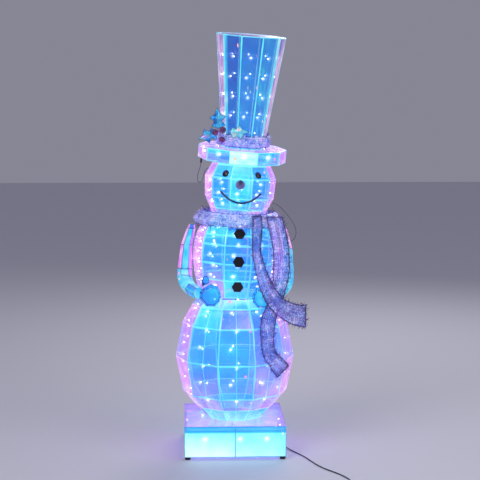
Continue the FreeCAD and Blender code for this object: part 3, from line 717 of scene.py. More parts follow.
gathered = {"pleats": 520.0, "pleatDepth": 0.0032, "crease": 0.0016}


def filmLook(materialName, **changes):
    look = dict(plainFilm, **changes)
    look["material"] = dichroicFilm(materialName, look)
    return look


frontTint = {
    "lower_body": {
        "left": [(0.16, 0.30), (0.78, 0.66), (0.62, 0.44), (0.40, 0.36), (0.30, 0.24), (0.16, 0.06)],
        "centre": [(0.10, 0.30), (0.70, 0.60), (0.44, 0.34), (0.42, 0.40), (0.66, 0.58), (0.30, 0.04)],
        "right": [(0.16, 0.34), (0.84, 0.70), (0.74, 0.62), (0.62, 0.54), (0.50, 0.40), (0.20, 0.08)]},
    "torso": {
        "left": [(0.84, 0.74), (0.60, 0.44), (0.42, 0.36), (0.36, 0.30), (0.26, 0.18), (0.16, 0.10)],
        "centre": [(0.30, 0.28), (0.34, 0.44), (0.42, 0.46), (0.44, 0.38), (0.26, 0.58), (0.14, 0.10)],
        "right": [(0.40, 0.46), (0.44, 0.44), (0.40, 0.42), (0.42, 0.40), (0.30, 0.24), (0.16, 0.10)]},
    "head": {
        "left": [(0.84, 0.62), (0.34, 0.46), (0.48, 0.42), (0.34, 0.26), (0.20, 0.12)],
        "centre": [(0.80, 0.60), (0.30, 0.38), (0.34, 0.22), (0.30, 0.20), (0.24, 0.10)],
        "right": [(0.92, 0.78), (0.50, 0.66), (0.56, 0.44), (0.40, 0.44), (0.22, 0.12)]},
}
sideTint = {
    "lower_body": [(0.60, 0.80), (0.97, 0.88), (0.95, 0.90), (0.78, 0.84), (0.84, 0.92), (0.80, 0.60)],
    "torso": [(0.80, 0.84), (0.86, 0.90), (0.88, 0.92), (0.92, 0.90), (0.88, 0.84), (0.80, 0.74)],
    "head": [(0.88, 0.84), (0.94, 0.88), (0.86, 0.92), (0.92, 0.88), (0.86, 0.80)],
}
gatheredRows = {"lower_body": {0: gathered, 5: gathered}, "torso": {0: dict(gathered, pleatDepth=0.0016)},
                "head": {0: dict(gathered, pleatDepth=0.0012)}}
frontFilm = filmLook("dichroicPetFilmFront")
sideFilm = filmLook("dichroicPetFilmSide", slot="film_pink", hem=(0.005, 0.004), hemColour="#ffd2f6",
                    hemShare=0.45, cover=0.42, light=0.50, depth=0.34, nanometres=300.0, glintRarity=0.965)
seamedFilm = filmLook("dichroicPetFilmSeamed", seam=0.0022)
for section, tints in frontTint.items():
    rowLooks = gatheredRows[section]
    backTints = {"backLeft": tints["left"], "back": tints["centre"], "backRight": tints["right"]}
    facing = seamedFilm if section == "lower_body" else frontFilm
    filmPiece(section + "FrontCover", section + "_front_film", section,
              dict(facing, tint=dict(tints, side=tints["left"]), rowLooks=rowLooks))
    filmPiece(section + "BackCover", section + "_back_film", section,
              dict(frontFilm, tint=dict(backTints, side=tints["right"]), rowLooks=rowLooks))
    filmPiece(section + "SideCovers", section + "_side_films", section,
              dict(sideFilm, tint={"side": sideTint[section]}, rowLooks=rowLooks))
    print("covers made:", section)

crownFilm = filmLook("dichroicPetFilmCrown", slot="film_crown", stops=crownStops, streak=(70.0, 70.0, 3.0),
                     vein=0.52, wander=0.42, hem=(0.0045, 0.005), hemSpread=0.0, hemColour="#63e2ea",
                     hemShare=0.85, hemLight=0.16, light=0.46, depth=0.42, glintScale=(75.0, 75.0, 26.0),
                     glintRarity=0.90, cover=0.50, plateTint=0.86, glowReach=0.009, bloom=0.6,
                     strips={"left": (0.20, 1.0, 0.20), "right": (0.0, 0.86, 0.16),
                             "backLeft": (0.0, 0.80, 0.20), "backRight": (0.14, 1.0, 0.24)})
filmPiece("crownCover", "crown_film", "hat",
          dict(crownFilm, columns=14, tint={
              "left": [(0.50, 0.58)], "centre": [(0.36, 0.48)], "right": [(0.32, 0.40)],
              "backLeft": [(0.50, 0.58)], "back": [(0.38, 0.50)], "backRight": [(0.34, 0.42)],
              "side": [(0.97, 0.93)]}))
brimFilm = filmLook("dichroicPetFilmBrim", slot="film_brim", light=0.60, glowReach=0.013,
                    plateTint=0.86, bloom=0.8, glintRarity=0.93)
filmPiece("brimBandCover", "brim_band_film", "hat",
          dict(brimFilm, tint={
              "left": [(0.60, 0.24)], "centre": [(0.10, 0.02)], "right": [(0.42, 0.34)],
              "backLeft": [(0.40, 0.30)], "back": [(0.12, 0.06)], "backRight": [(0.30, 0.55)],
              "side": [(0.90, 0.84)]}))
filmPiece("brimDiscCovers", "brim_disc_films", "hat", dict(brimFilm, rule="plate", tint={}))
baseFilm = filmLook("dichroicPetFilmBase", slot="film_base", hem=(0.0035, 0.0035), hemSpread=0.0,
                    hemColour="#2a93b8", hemShare=0.8, hemLight=-0.25, light=0.72, depth=0.08,
                    streak=(6.0, 6.0, 90.0), vein=0.05, wander=0.12, cover=0.60, glowReach=0.013,
                    glintRarity=0.985, plateTint=0.86, seam=0.0026, bandFrom=0.79, bandTint=0.40)
filmPiece("baseWallCover", "base_wall_film", "base",
          dict(baseFilm, columns=36, step=0.0075, crease=0.0009, tint={
              "centre": [(0.08, 0.22)], "back": [(0.08, 0.22)], "side": [(0.72, 0.90)]}))
filmPiece("baseTopCover", "base_top_film", "base",
          dict(filmLook("dichroicPetFilmBaseTop", slot="film_base", hem=(0.004, 0.004), hemColour="#2a93b8",
                        light=0.44, cover=0.46, depth=0.3, vein=0.3, wander=0.34, plateTint=0.84,
                        glintRarity=0.93), rule="plate", tint={}))

armFilm = filmLook("dichroicPetFilmArm", slot="film_arm", columns=5, rows=5, rule="shell", crease=0.0008,
                   hem=(0.0024, 0.0024), hemSpread=0.0, hemColour="#2b2a80", hemShare=0.85, hemLight=-0.4,
                   light=0.50, wander=0.6, vein=0.3, cover=0.54, plateTint=0.2)
armTint = {"centre": [(0.10, 0.16), (0.20, 0.36), (0.44, 0.46), (0.46, 0.50), (0.50, 0.46)],
           "left": [(0.30, 0.30), (0.44, 0.44), (0.48, 0.46), (0.46, 0.48)],
           "right": [(0.30, 0.30), (0.44, 0.44), (0.48, 0.46), (0.46, 0.48)],
           "side": [(0.20, 0.60), (0.90, 0.86), (0.92, 0.88), (0.90, 0.94)]}
mittenFilm = filmLook("dichroicPetFilmMitten", slot="film_mitten", columns=6, rows=5, rule="shell",
                      crease=0.0008, hem=(0.0034, 0.0034), hemSpread=0.0, hemColour="#14307c", hemShare=0.9,
                      hemLight=-0.42, light=0.50, wander=0.8, vein=0.3, cover=0.60, plateTint=0.42)
for way in ("left", "right"):
    filmPiece(way + "ArmCover", way + "_arm_film", "torso", dict(armFilm, tint=armTint))
    filmPiece(way + "MittenCover", way + "_mitten_film", "torso",
              dict(mittenFilm, tint={"side": [(0.46, 0.40)], "centre": [(0.34, 0.48)]}))
print("covers made: hat, base, arms and mittens")


# wires, lamps and small rigid pieces keep their CAD shape and get their real finish
# powder-coated mild steel wire: pale, satin, faintly orange-peeled, catching the film's light
def paintedWire(name, look):
    material, tree, shader = newMaterial(name, Roughness=look["roughness"], IOR=1.5, Coat_Weight=0.2)
    place = addNode(tree, "ShaderNodeTexCoord").outputs["Object"]
    cloud = addNode(tree, "ShaderNodeTexNoise", {"Vector": place, "Scale": 22.0,
                                                 "Detail": 3.0}).outputs["Fac"]
    colour = addNode(tree, "ShaderNodeValToRGB", {"Fac": cloud}, stops=look["stops"]).outputs["Color"]
    tree.links.new(colour, shader.inputs["Base Color"])
    tree.links.new(colour, shader.inputs["Emission Color"])
    power = addNode(tree, "ShaderNodeMapRange", {"Value": cloud, 3: look["light"][0], 4: look["light"][1]})
    tree.links.new(power.outputs[0], shader.inputs["Emission Strength"])
    peel = addNode(tree, "ShaderNodeTexNoise", {"Vector": place, "Scale": 900.0,
                                                "Detail": 2.0}).outputs["Fac"]
    bump = addNode(tree, "ShaderNodeBump", {"Strength": 0.3, "Distance": 0.0002, "Height": peel})
    tree.links.new(bump.outputs["Normal"], shader.inputs["Normal"])
    return material


paleWire = paintedWire("powderCoatedSteelWirePale", {
    "roughness": 0.42, "stops": [(0.3, "#8fe9ea"), (0.5, "#b9f0ec"), (0.7, "#e4d3e4")], "light": (0.25,
                                                            0.75)})
darkWire = paintedWire("powderCoatedSteelWireDark", {
    "roughness": 0.45, "stops": [(0.3, "#15152e"), (0.7, "#26306a")], "light": (0.0, 0.04)})
baseWire = paintedWire("powderCoatedSteelWireBase", {
    "roughness": 0.42, "stops": [(0.3, "#1d7f9c"), (0.6, "#4fc3d6"), (0.8, "#9fe6ea")], "light": (0.1,
                                                            0.4)})


# moulded or potted plastics and rubber: fine mould texture, slightly uneven gloss
def mouldedPlastic(name, look):
    material, tree, shader = newMaterial(name, IOR=look.get("ior", 1.5), Coat_Weight=look.get("coat", 0.0),
                                         Coat_Roughness=0.06, Metallic=look.get("metal", 0.0))
    place = addNode(tree, "ShaderNodeTexCoord").outputs["Object"]
    grain = addNode(tree, "ShaderNodeTexNoise", {"Vector": place, "Scale": look["grain"],
                                                 "Detail": 4.0}).outputs["Fac"]
    blotch = addNode(tree, "ShaderNodeTexNoise", {"Vector": place, "Scale": look.get("blotch", 45.0),
                                                  "Detail": 2.0})
    colour = addNode(tree, "ShaderNodeValToRGB", {"Fac": blotch.outputs["Fac"]}, stops=look["stops"])
    tree.links.new(colour.outputs["Color"], shader.inputs["Base Color"])
    gloss = addNode(tree, "ShaderNodeMapRange", {"Value": grain, 3: look["roughness"][0],
                                                 4: look["roughness"][1]})
    tree.links.new(gloss.outputs[0], shader.inputs["Roughness"])
    bump = addNode(tree, "ShaderNodeBump", {"Strength": look.get("relief", 0.2), "Distance": 0.0003,
                                            "Height": grain})
    tree.links.new(bump.outputs["Normal"], shader.inputs["Normal"])
    return material, tree, shader


glossBlack = mouldedPlastic("injectionMouldedGlossAbs", {
    "stops": [(0.3, "#07070c"), (0.7, "#101018")], "grain": 700.0, "roughness": (0.22,
                                                            0.34), "coat": 0.15})[0]
mattBlack = mouldedPlastic("mouldedMattAbs", {
    "stops": [(0.3, "#14141a"), (0.7, "#22222b")], "grain": 900.0, "roughness": (0.42, 0.6)})[0]
footRubber = mouldedPlastic("mouldedFootRubber", {
    "stops": [(0.3, "#17161c"), (0.7, "#2a2730")], "grain": 1200.0, "roughness": (0.6,
                                                            0.8), "relief": 0.4})[0]
glandPlastic = mouldedPlastic("mouldedNylonGland", {
    "stops": [(0.3, "#1a1924"), (0.7, "#2c2a3a")], "grain": 800.0, "roughness": (0.4, 0.55)})[0]
plugBrass = mouldedPlastic("nickelPlatedBrass", {
    "stops": [(0.3, "#b9b5a8"), (0.7, "#d9d5c8")], "grain": 500.0, "roughness": (0.18, 0.32), "metal": 1.0,
    "relief": 0.05})[0]

# moulded polypropylene cone: grey violet, darker toward its tip, fine rings from the mould
nosePlastic, noseTree, noseShader = mouldedPlastic("mouldedPolypropyleneNose", {
    "stops": [(0.3, "#7f679f"), (0.7, "#957cb2")], "grain": 260.0, "roughness": (0.35, 0.5), "relief": 0.4})
noseLow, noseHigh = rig.box("nose")
nosePlace = addNode(noseTree, "ShaderNodeTexCoord").outputs["Object"]
noseAxis = addNode(noseTree, "ShaderNodeSeparateXYZ", {"Vector": nosePlace})
noseForward = addNode(noseTree, "ShaderNodeMapRange", {"Value": noseAxis.outputs["Y"], 1: noseHigh.y,
                                                       2: noseLow.y,
                                                       3: 0.0, 4: 1.0}).outputs[0]
noseTone = addNode(noseTree, "ShaderNodeValToRGB", {"Fac": noseForward},
                   stops=[(0.0, "#a48bc0"), (0.45, "#7d6699"), (0.8, "#4c3d66"), (1.0, "#2a2140")])
noseTree.links.new(noseTone.outputs["Color"], noseShader.inputs["Base Color"])

# cool white LED under a clear epoxy dome: its own light swamps everything else about it
lampEpoxy, lampTree, lampShader = newMaterial("ledEpoxyDome", Roughness=0.1, IOR=1.5,
                                              Base_Color=linear("#dfefff"))
lampPlace = addNode(lampTree, "ShaderNodeTexCoord").outputs["Object"]
lampCell = addNode(lampTree, "ShaderNodeTexNoise", {"Vector": lampPlace, "Scale": 7.0,
                                                    "Detail": 1.0}).outputs["Fac"]
lampTint = addNode(lampTree, "ShaderNodeValToRGB", {"Fac": lampCell},
                   stops=[(0.35, "#cfe6ff"), (0.5, "#f3fbff"), (0.65, "#ffe9fb")]).outputs["Color"]
lampPower = addNode(lampTree, "ShaderNodeMapRange", {"Value": lampCell, 1: 0.3, 2: 0.7, 3: 9.0,
                                                     4: 20.0}).outputs[0]
lampTree.links.new(lampTint, lampShader.inputs["Emission Color"])
lampTree.links.new(lampPower, lampShader.inputs["Emission Strength"])

stringLead = paintedWire("clearPvcLightString", {
    "roughness": 0.25, "stops": [(0.3, "#9adfe8"), (0.7, "#cfe9f6")], "light": (0.2, 0.5)})

finishes = {
    "base_frame": baseWire, "feet": footRubber, "lead_gland": glandPlastic,
    "power_adapter": mattBlack, "adapter_pins": plugBrass, "coat_buttons": glossBlack, "eyes": glossBlack,
    "smile": glossBlack, "nose": nosePlastic, "left_arm_frame": darkWire, "right_arm_frame": darkWire,
    "neck_link_socket": mattBlack, "hat_link_socket": mattBlack, "link_plugs": mattBlack,
}
for section in ("lower_body", "torso", "head", "hat"):
    finishes[section + "_frame"] = paleWire
    finishes[section + "_hooks"] = darkWire
for section in sections:
    finishes[section + "_bulbs"] = lampEpoxy
    finishes[section + "_string_lead"] = stringLead
for node, material in finishes.items():
    dress(frame["nodes"][node], material)
print("rigid pieces finished")

# tinsel netting: scarf and hat band
# woven from slit metallised film and fine dark yarn, with a wired edge: lilac, blue and silver glitter
def tinselFinish(name, look):
    material, tree, shader = newMaterial(name, Metallic=look["metal"], Specular_IOR_Level=0.7)
    place = addNode(tree, "ShaderNodeTexCoord").outputs["Object"]
    flake = addNode(tree, "ShaderNodeTexVoronoi", {"Vector": place, "Scale": look["flakes"]})
    mottle = addNode(tree, "ShaderNodeTexNoise", {"Vector": place, "Scale": 26.0,
                                                  "Detail": 4.0}).outputs["Fac"]
    tone = addNode(tree, "ShaderNodeSeparateColor", {"Color": flake.outputs["Color"]})
    blend = addNode(tree, "ShaderNodeMath", {0: tone.outputs[0], 1: look["scatter"], 2: mottle},
                    operation="MULTIPLY_ADD").outputs[0]
    colour = addNode(tree, "ShaderNodeValToRGB", {"Fac": blend}, stops=look["stops"]).outputs["Color"]
    tree.links.new(colour, shader.inputs["Base Color"])
    tree.links.new(colour, shader.inputs["Emission Color"])
    # painted light: the whole surface glows a little and random flakes glow brighter, as a painted sparkle highlight
    paintedGlowAndSparkle = addNode(tree, "ShaderNodeMapRange", {"Value": tone.outputs[1], 1: 0.55, 2: 1.0,
                                                 3: look["light"][0],
                                                 4: look["light"][1]}).outputs[0]
    tree.links.new(paintedGlowAndSparkle, shader.inputs["Emission Strength"])
    gloss = addNode(tree, "ShaderNodeMapRange", {"Value": tone.outputs[2], 3: 0.18, 4: 0.5}).outputs[0]
    tree.links.new(gloss, shader.inputs["Roughness"])
    if look.get("weave"):
        # open weave: warp and weft strips with gaps between, drawn coarse enough to show
        cloth = addNode(tree, "ShaderNodeUVMap", uv_map="cut").outputs["UV"]
        axes = addNode(tree, "ShaderNodeSeparateXYZ", {"Vector": cloth})
        cover = None
        for side in ("X", "Y"):
            wave = addNode(tree, "ShaderNodeMath", {0: axes.outputs[side], 1: look["weave"]},
                           operation="PINGPONG")
            line = addNode(tree, "ShaderNodeMapRange", {"Value": wave.outputs[0], 1: 0.45 * look["weave"],
                                                        2: 0.62 * look["weave"], 3: 1.0, 4: 0.0}).outputs[0]
            cover = line if cover is None else addNode(tree, "ShaderNodeMath", {0: cover, 1: line},
                                                       operation="MAXIMUM").outputs[0]
        open_ = addNode(tree, "ShaderNodeMapRange", {"Value": cover, 3: look["gap"],
                                                     4: look["cover"]}).outputs[0]
        tree.links.new(open_, shader.inputs["Alpha"])
    return material


tinselSheet = tinselFinish("slitMetallisedFilmWeave", {
    "metal": 0.3, "flakes": 330.0, "scatter": 0.45, "light": (0.16, 0.70), "weave": 0.0022, "gap": 0.34,
    "cover": 0.84, "stops": [(0.35, "#3a30a0"), (0.55, "#5f58d8"), (0.72, "#7b86f0"), (0.86, "#8fc0fa"),
                             (1.0, "#e6c9ff")]})
tinselBright = tinselFinish("slitMetallisedFilmWeavePale", {
    "metal": 0.3, "flakes": 330.0, "scatter": 0.45, "light": (0.22, 0.85), "weave": 0.0022, "gap": 0.34,
    "cover": 0.88, "stops": [(0.35, "#4a4fc0"), (0.55, "#7482e4"), (0.72, "#9aaef6"), (0.86, "#c4dcff"),
                             (1.0, "#f6dcff")]})
tinselFibre = tinselFinish("slitMetallisedFilmStrand", {
    "metal": 0.6, "flakes": 140.0, "scatter": 0.6, "light": (0.10, 1.0),
    "stops": [(0.3, "#3b2f96"), (0.55, "#6a62d8"), (0.75, "#93a4f4"), (0.9, "#d3e4ff"), (1.0, "#ffb8e6")]})
darkYarn = tinselFinish("texturisedPolyesterYarn", {
    "metal": 0.1, "flakes": 160.0, "scatter": 0.4, "light": (0.0, 0.12),
    "stops": [(0.3, "#1d1440"), (0.6, "#3a2a72"), (0.85, "#5b47a0"), (1.0, "#a05a9c")]})


def nettingTree():
    tree = bpy.data.node_groups.new("tinselNetting", "GeometryNodeTree")
    sockets = {}
    for label, kind, start in (("Cloth", "NodeSocketGeometry", None), ("Yarn radius", "NodeSocketFloat",
                                                            0.0004),
                               ("Edge radius", "NodeSocketFloat", 0.0011), ("Strands", "NodeSocketFloat",
                                                            9000.0),
                               ("Strand length", "NodeSocketFloat", 0.012), ("Fringe gap",
                                                            "NodeSocketFloat", 0.002),
                               ("Seed", "NodeSocketInt", 1), ("Yarn", "NodeSocketMaterial", None),
                               ("Strand finish", "NodeSocketMaterial", None)):
        socket = tree.interface.new_socket(name=label, in_out="INPUT", socket_type=kind)
        if start is not None:
            socket.default_value = start
        sockets[label] = socket.identifier
    tree.interface.new_socket(name="Netting", in_out="OUTPUT", socket_type="NodeSocketGeometry")
    given = addNode(tree, "NodeGroupInput").outputs
    # yarn along every line of the net
    lines = addNode(tree, "GeometryNodeMeshToCurve", {"Mesh": given["Cloth"]}).outputs["Curve"]
    thread = addNode(tree, "GeometryNodeCurvePrimitiveCircle", {"Resolution": 3,
                                                            "Radius": given["Yarn radius"]})
    net = addNode(tree, "GeometryNodeCurveToMesh", {"Curve": lines,
                                                    "Profile Curve": thread.outputs["Curve"]})
    # wired edge with a short dark fringe
    sides = addNode(tree, "GeometryNodeInputMeshEdgeNeighbors").outputs["Face Count"]
    rim = addNode(tree, "FunctionNodeCompare", {2: sides, 3: 1}, data_type="INT",
                  operation="EQUAL").outputs[0]
    border = addNode(tree, "GeometryNodeMeshToCurve", {"Mesh": given["Cloth"],
                                                       "Selection": rim}).outputs["Curve"]
    wire = addNode(tree, "GeometryNodeCurvePrimitiveCircle", {"Resolution": 5,
                                                            "Radius": given["Edge radius"]})
    edge = addNode(tree, "GeometryNodeCurveToMesh", {"Curve": border,
                                                     "Profile Curve": wire.outputs["Curve"]})
    spots = addNode(tree, "GeometryNodeCurveToPoints", {"Curve": border, "Length": given["Fringe gap"]},
                    mode="LENGTH").outputs["Points"]
    # one short curled strand
    arc = addNode(tree, "GeometryNodeCurvePrimitiveBezierSegment", {
        "Resolution": 3, "Start": (0, 0, 0), "Start Handle": (0.1, 0, 0.4), "End Handle": (0.7, 0.2, 0.5),
        "End": (0.8, 0.1, 0.9)})
    strands = []
    for thickness in (0.028, 0.055):
        slit = addNode(tree, "GeometryNodeCurvePrimitiveCircle", {"Resolution": 3, "Radius": thickness})
        strands.append(addNode(tree, "GeometryNodeCurveToMesh", {"Curve": arc.outputs["Curve"],
                                                                 "Profile Curve": slit.outputs["Curve"]}))
    field = addNode(tree, "GeometryNodeDistributePointsOnFaces", {"Mesh": given["Cloth"],
                                                                  "Density": given["Strands"],
                                                                  "Seed": given["Seed"]}).outputs["Points"]
    grown = []
    for points, share, salt, strand in ((field, 1.0, 3, strands[0]), (spots, 1.15, 7, strands[1])):
        turn = addNode(tree, "FunctionNodeRandomValue", {1: (6.283, 6.283, 6.283), "Seed": salt},
                       data_type="FLOAT_VECTOR").outputs[0]
        angle = addNode(tree, "FunctionNodeEulerToRotation", {0: turn}).outputs[0]
        spread = addNode(tree, "FunctionNodeRandomValue", {2: 0.5 * share, 3: 1.25 * share,
                                                           "Seed": salt + 1},
                         data_type="FLOAT").outputs[1]
        size = addNode(tree, "ShaderNodeMath", {0: spread, 1: given["Strand length"]}, operation="MULTIPLY")
        copies = addNode(tree, "GeometryNodeInstanceOnPoints", {"Points": points,
                                                                "Instance": strand.outputs["Mesh"],
                                                                "Rotation": angle, "Scale": size.outputs[0]})
        grown.append(addNode(tree, "GeometryNodeRealizeInstances", {0: copies.outputs[0]}).outputs[0])
    dark = addNode(tree, "GeometryNodeJoinGeometry")
    for item in (net.outputs["Mesh"], edge.outputs["Mesh"], grown[1]):
        tree.links.new(item, dark.inputs[0])
    darkened = addNode(tree, "GeometryNodeSetMaterial", {"Geometry": dark.outputs[0],
                                                         "Material": given["Yarn"]})
    bright = addNode(tree, "GeometryNodeSetMaterial", {"Geometry": grown[0],
                                                       "Material": given["Strand finish"]})
    both = addNode(tree, "GeometryNodeJoinGeometry")
    for item in (darkened.outputs[0], bright.outputs[0]):
        tree.links.new(item, both.inputs[0])
    addNode(tree, "NodeGroupOutput", {0: both.outputs[0]})
    return tree, sockets


netting, nettingSockets = nettingTree()


def clothMesh(name, across, along, spotAt, closed=False):
    # sheet of cloth as a grid; its UV map is the flat cut, in metres
    mesh = bmesh.new()
    cut = mesh.loops.layers.uv.new("cut")
    net = [[mesh.verts.new(spotAt(c / across, r / along)) for c in range(across + 1)]
           for r in range(along if closed else along + 1)]
    if closed:
        net.append(net[0])
    reachAlong = [0.0]
    for low, high in zip(net, net[1:]):
        reachAlong.append(reachAlong[-1] + (low[across // 2].co - high[across // 2].co).length)
    reachAcross = [0.0]
    for k in range(across):
        reachAcross.append(reachAcross[-1] + (net[0][k].co - net[0][k + 1].co).length)
    for r in range(along):
        for c in range(across):
            face = mesh.faces.new((net[r][c], net[r][c + 1], net[r + 1][c + 1], net[r + 1][c]))
            face.smooth = True
            for loop, (dc, dr) in zip(face.loops, ((0, 0), (1, 0), (1, 1), (0, 1))):
                loop[cut].uv = (reachAcross[c + dc], reachAlong[r + dr])
    made = bpy.data.meshes.new(name)
    mesh.to_mesh(made)
    mesh.free()
    return made


def tinselCloth(name, node, body, spotAt, look):
    sheet = meshObject(name, clothMesh(name, look["fine"][0], look["fine"][1], spotAt, look.get("closed",
                                                            False)))
    dress(sheet, look["sheet"])
    area = sum(polygon.area for polygon in sheet.data.polygons)
    coarse = meshObject(name + "Netting", clothMesh(name + "Netting", look["net"][0], look["net"][1],
                                                    spotAt,
                                                    look.get("closed", False)))
    grower = coarse.modifiers.new("netting", "NODES")
    grower.node_group = netting
    for label, value in (("Yarn radius", look["yarn"]), ("Edge radius", look["edge"]), ("Strands",
                                                            look["strands"]),
                         ("Strand length", look["strand"]), ("Fringe gap", look["fringe"]),
                         ("Seed", look["seed"]), ("Yarn", darkYarn), ("Strand finish", tinselFibre)):
        grower[nettingSockets[label]] = value
    bake(coarse)
    for piece in (sheet, coarse):
        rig.ride(piece, body)
        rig.slot(piece, "tinsel_mesh")
    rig.replaces(sheet, node)
    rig.sheet(sheet, flat=look["flat"], area=look.get("cutArea"), held=look["held"], rests_on=look["on"],
             with_pieces=[coarse])
    print(name, "cut", look["flat"], "shown area", round(area, 4), "netting", len(coarse.data.polygons))
    return sheet


def stripEdges(node):
    # the two long edges of a hanging strip, station by station from the top
    mesh = cleanCopy(node)
    top = max(mesh.verts, key=lambda v: v.co.z).co
    first = min(mesh.faces,
                key=lambda face: (face.calc_center_median() - top).length if abs(face.normal.z) > 0.8
                else 9.0)
    station = list(first.verts)
    seen = set(station)
    left, right = [], []
    while station:
        middleSpot = sum((v.co for v in station), Vector()) / len(station)
        side = Vector((1, 0, 0)) if not left else (right[-1] - left[-1]).normalized()
        ordered = sorted(station, key=lambda v: (v.co - middleSpot).dot(side))
        left.append((ordered[0].co + ordered[1].co) / 2)
        right.append((ordered[2].co + ordered[3].co) / 2)
        following = []
        for v in station:
            for edge in v.link_edges:
                other = edge.other_vert(v)
                if other not in seen:
                    seen.add(other)
                    following.append(other)
        station = following if len(following) == 4 else []
    mesh.free()
    return left, right


def smoothAt(points, share):
    # curve through the points
    place = share * (len(points) - 1)
    k = min(int(place), len(points) - 2)
    t = place - k
    a = points[max(k - 1, 0)]
    b, c = points[k], points[k + 1]
    d = points[min(k + 2, len(points) - 1)]
    bend = (2 * a - 5 * b + 4 * c - d) * t * t
    twist = (3 * b - a - 3 * c + d) * t ** 3
    return 0.5 * (2 * b + (c - a) * t + bend + twist)


def ringSpot(node, section, look):
    # cloth gathered round a section: follows the outside of the CAD ring, with upright folds
    mesh = cleanCopy(node)
    skin = BVHTree.FromBMesh(mesh)
    base, axis = sectionAxis(section)
    heights = [(vert.co - base).dot(axis) for vert in mesh.verts]
    mesh.free()
    low, high = min(heights), max(heights)
    aside = axis.cross(Vector((0, 1, 0))).normalized()
    ahead = aside.cross(axis)

    def spotAt(u, v):
        turn = 2 * math.pi * v
        away = aside * math.cos(turn) + ahead * math.sin(turn)
        centre = base + axis * (low + (high - low) * (look["rim"] + (1 - 2 * look["rim"]) * u))
        skinSpot = skin.ray_cast(centre + away * 0.5, -away)[0] or centre + away * look["fallback"]
        wander = noise.noise(Vector((math.cos(turn) * 3, math.sin(turn) * 3, u * 1.5 + look["seed"])))
        fold = look["foldDepth"] * math.sin(look["folds"] * turn + 5.0 * wander + 1.2 * u)
        tuck = look["tuck"] * abs(2 * u - 1) ** 3
        wavy = 0.004 * noise.noise(Vector((math.cos(turn) * 9, math.sin(turn) * 9, look["seed"] + 4)))
        return skinSpot + away * (look["swell"] + fold + 0.005 * wander - tuck) + axis * wavy * (2 * u - 1)

    return spotAt


collarLook = {"sheet": tinselBright, "held": "gathered", "yarn": 0.00055, "edge": 0.0013,
              "strands": 22000.0,
              "strand": 0.013, "fringe": 0.0032, "fine": (16, 260), "net": (6,
                                                            96), "seed": 21, "flat": (0.085,
                                                            1.20), "closed": True,
              "rim": 0.06, "fallback": 0.17, "folds": 22.0, "foldDepth": 0.0035,
              "tuck": 0.011, "swell": -0.003}
tinselCloth("scarfCollar", "scarf_collar", "torso", ringSpot("scarf_collar", "torso", collarLook),
            dict(collarLook, on=["torsoFrontCover", "torsoBackCover", "torso_frame"]))
bandLook = dict(collarLook, fine=(12, 200), net=(5, 76), seed=22, flat=(0.060, 0.78), fallback=0.11,
                folds=17.0,
                foldDepth=0.0030, tuck=0.006, swell=-0.002, rim=0.04, strand=0.011)
tinselCloth("hatBand", "hat_band", "hat", ringSpot("hat_band", "hat", bandLook),
            dict(bandLook, on=["crownCover", "brimDiscCovers"]))

tailLook = {"sheet": tinselSheet, "held": "hung", "yarn": 0.00065, "edge": 0.0020, "strands": 26000.0,
            "strand": 0.011, "fringe": 0.0013, "folds": 2.0, "foldDepth": 0.0036, "widen": 1.06}
for name, node, seed, flat, cutArea in (("scarfShortTail", "scarf_short_tail", 11, (0.090, 0.525), 0.0269),
                                        ("scarfLongTail", "scarf_long_tail", 12, (0.064, 0.691), 0.0393)):
    leftEdge, rightEdge = stripEdges(node)
    length = sum((b - a).length for a, b in zip(leftEdge, leftEdge[1:]))

    def tailSpot(u, v, leftEdge=leftEdge, rightEdge=rightEdge, look=tailLook, seed=seed):
        left, right = smoothAt(leftEdge, v), smoothAt(rightEdge, v)
        middleSpot = (left + right) / 2
        reach = (right - left) * look["widen"] / 2
        reach *= 1 + 0.07 * noise.noise(Vector((0, seed, v * 9.0)))
        wave = math.sin(2 * math.pi * look["folds"] * u + 1.5 * math.sin(4.0 * v + seed))
        ripple = 0.0016 * noise.noise(Vector((u * 5, v * 26.0, seed)))
        forward = Vector((0, -1, 0)) * (look["foldDepth"] * wave + ripple)
        return middleSpot + reach * (2 * u - 1) + forward

    tinselCloth(name, node, "torso", tailSpot,
                dict(tailLook, fine=(26, round(length / 0.006)), net=(7, round(length / 0.0095)), seed=seed,
                     flat=flat, cutArea=cutArea, on=["scarfCollar"]))


# holly: dichroic film stretched over dark enamelled wire outlines, and glitter-dipped foam berries
# the lilac top stop of the leaf ramp and the pink top stop of the paler leaf's ramp are painted highlights
hollyFilm = tinselFinish("dichroicPetFilmHolly", {
    "metal": 0.25, "flakes": 60.0, "scatter": 0.30, "light": (0.18, 0.62),
    "stops": [(0.2, "#123f96"), (0.45, "#1c74d6"), (0.62, "#2c9df0"), (0.78, "#59d2f6"), (0.95,
                                                            "#b088e8")]})
hollyPale = tinselFinish("dichroicPetFilmHollyPale", {
    "metal": 0.25, "flakes": 60.0, "scatter": 0.30, "light": (0.22, 0.85),
    "stops": [(0.2, "#1c74c8"), (0.45, "#3cc0ee"), (0.65, "#7fe6f4"), (0.82, "#a6f0ee"), (0.97,
                                                            "#ff8f9a")]})
outlineEnamel = paintedWire("enamelledOutlineWire", {
    "roughness": 0.35, "stops": [(0.3, "#0c1238"), (0.7, "#1c2f7c")], "light": (0.0, 0.05)})


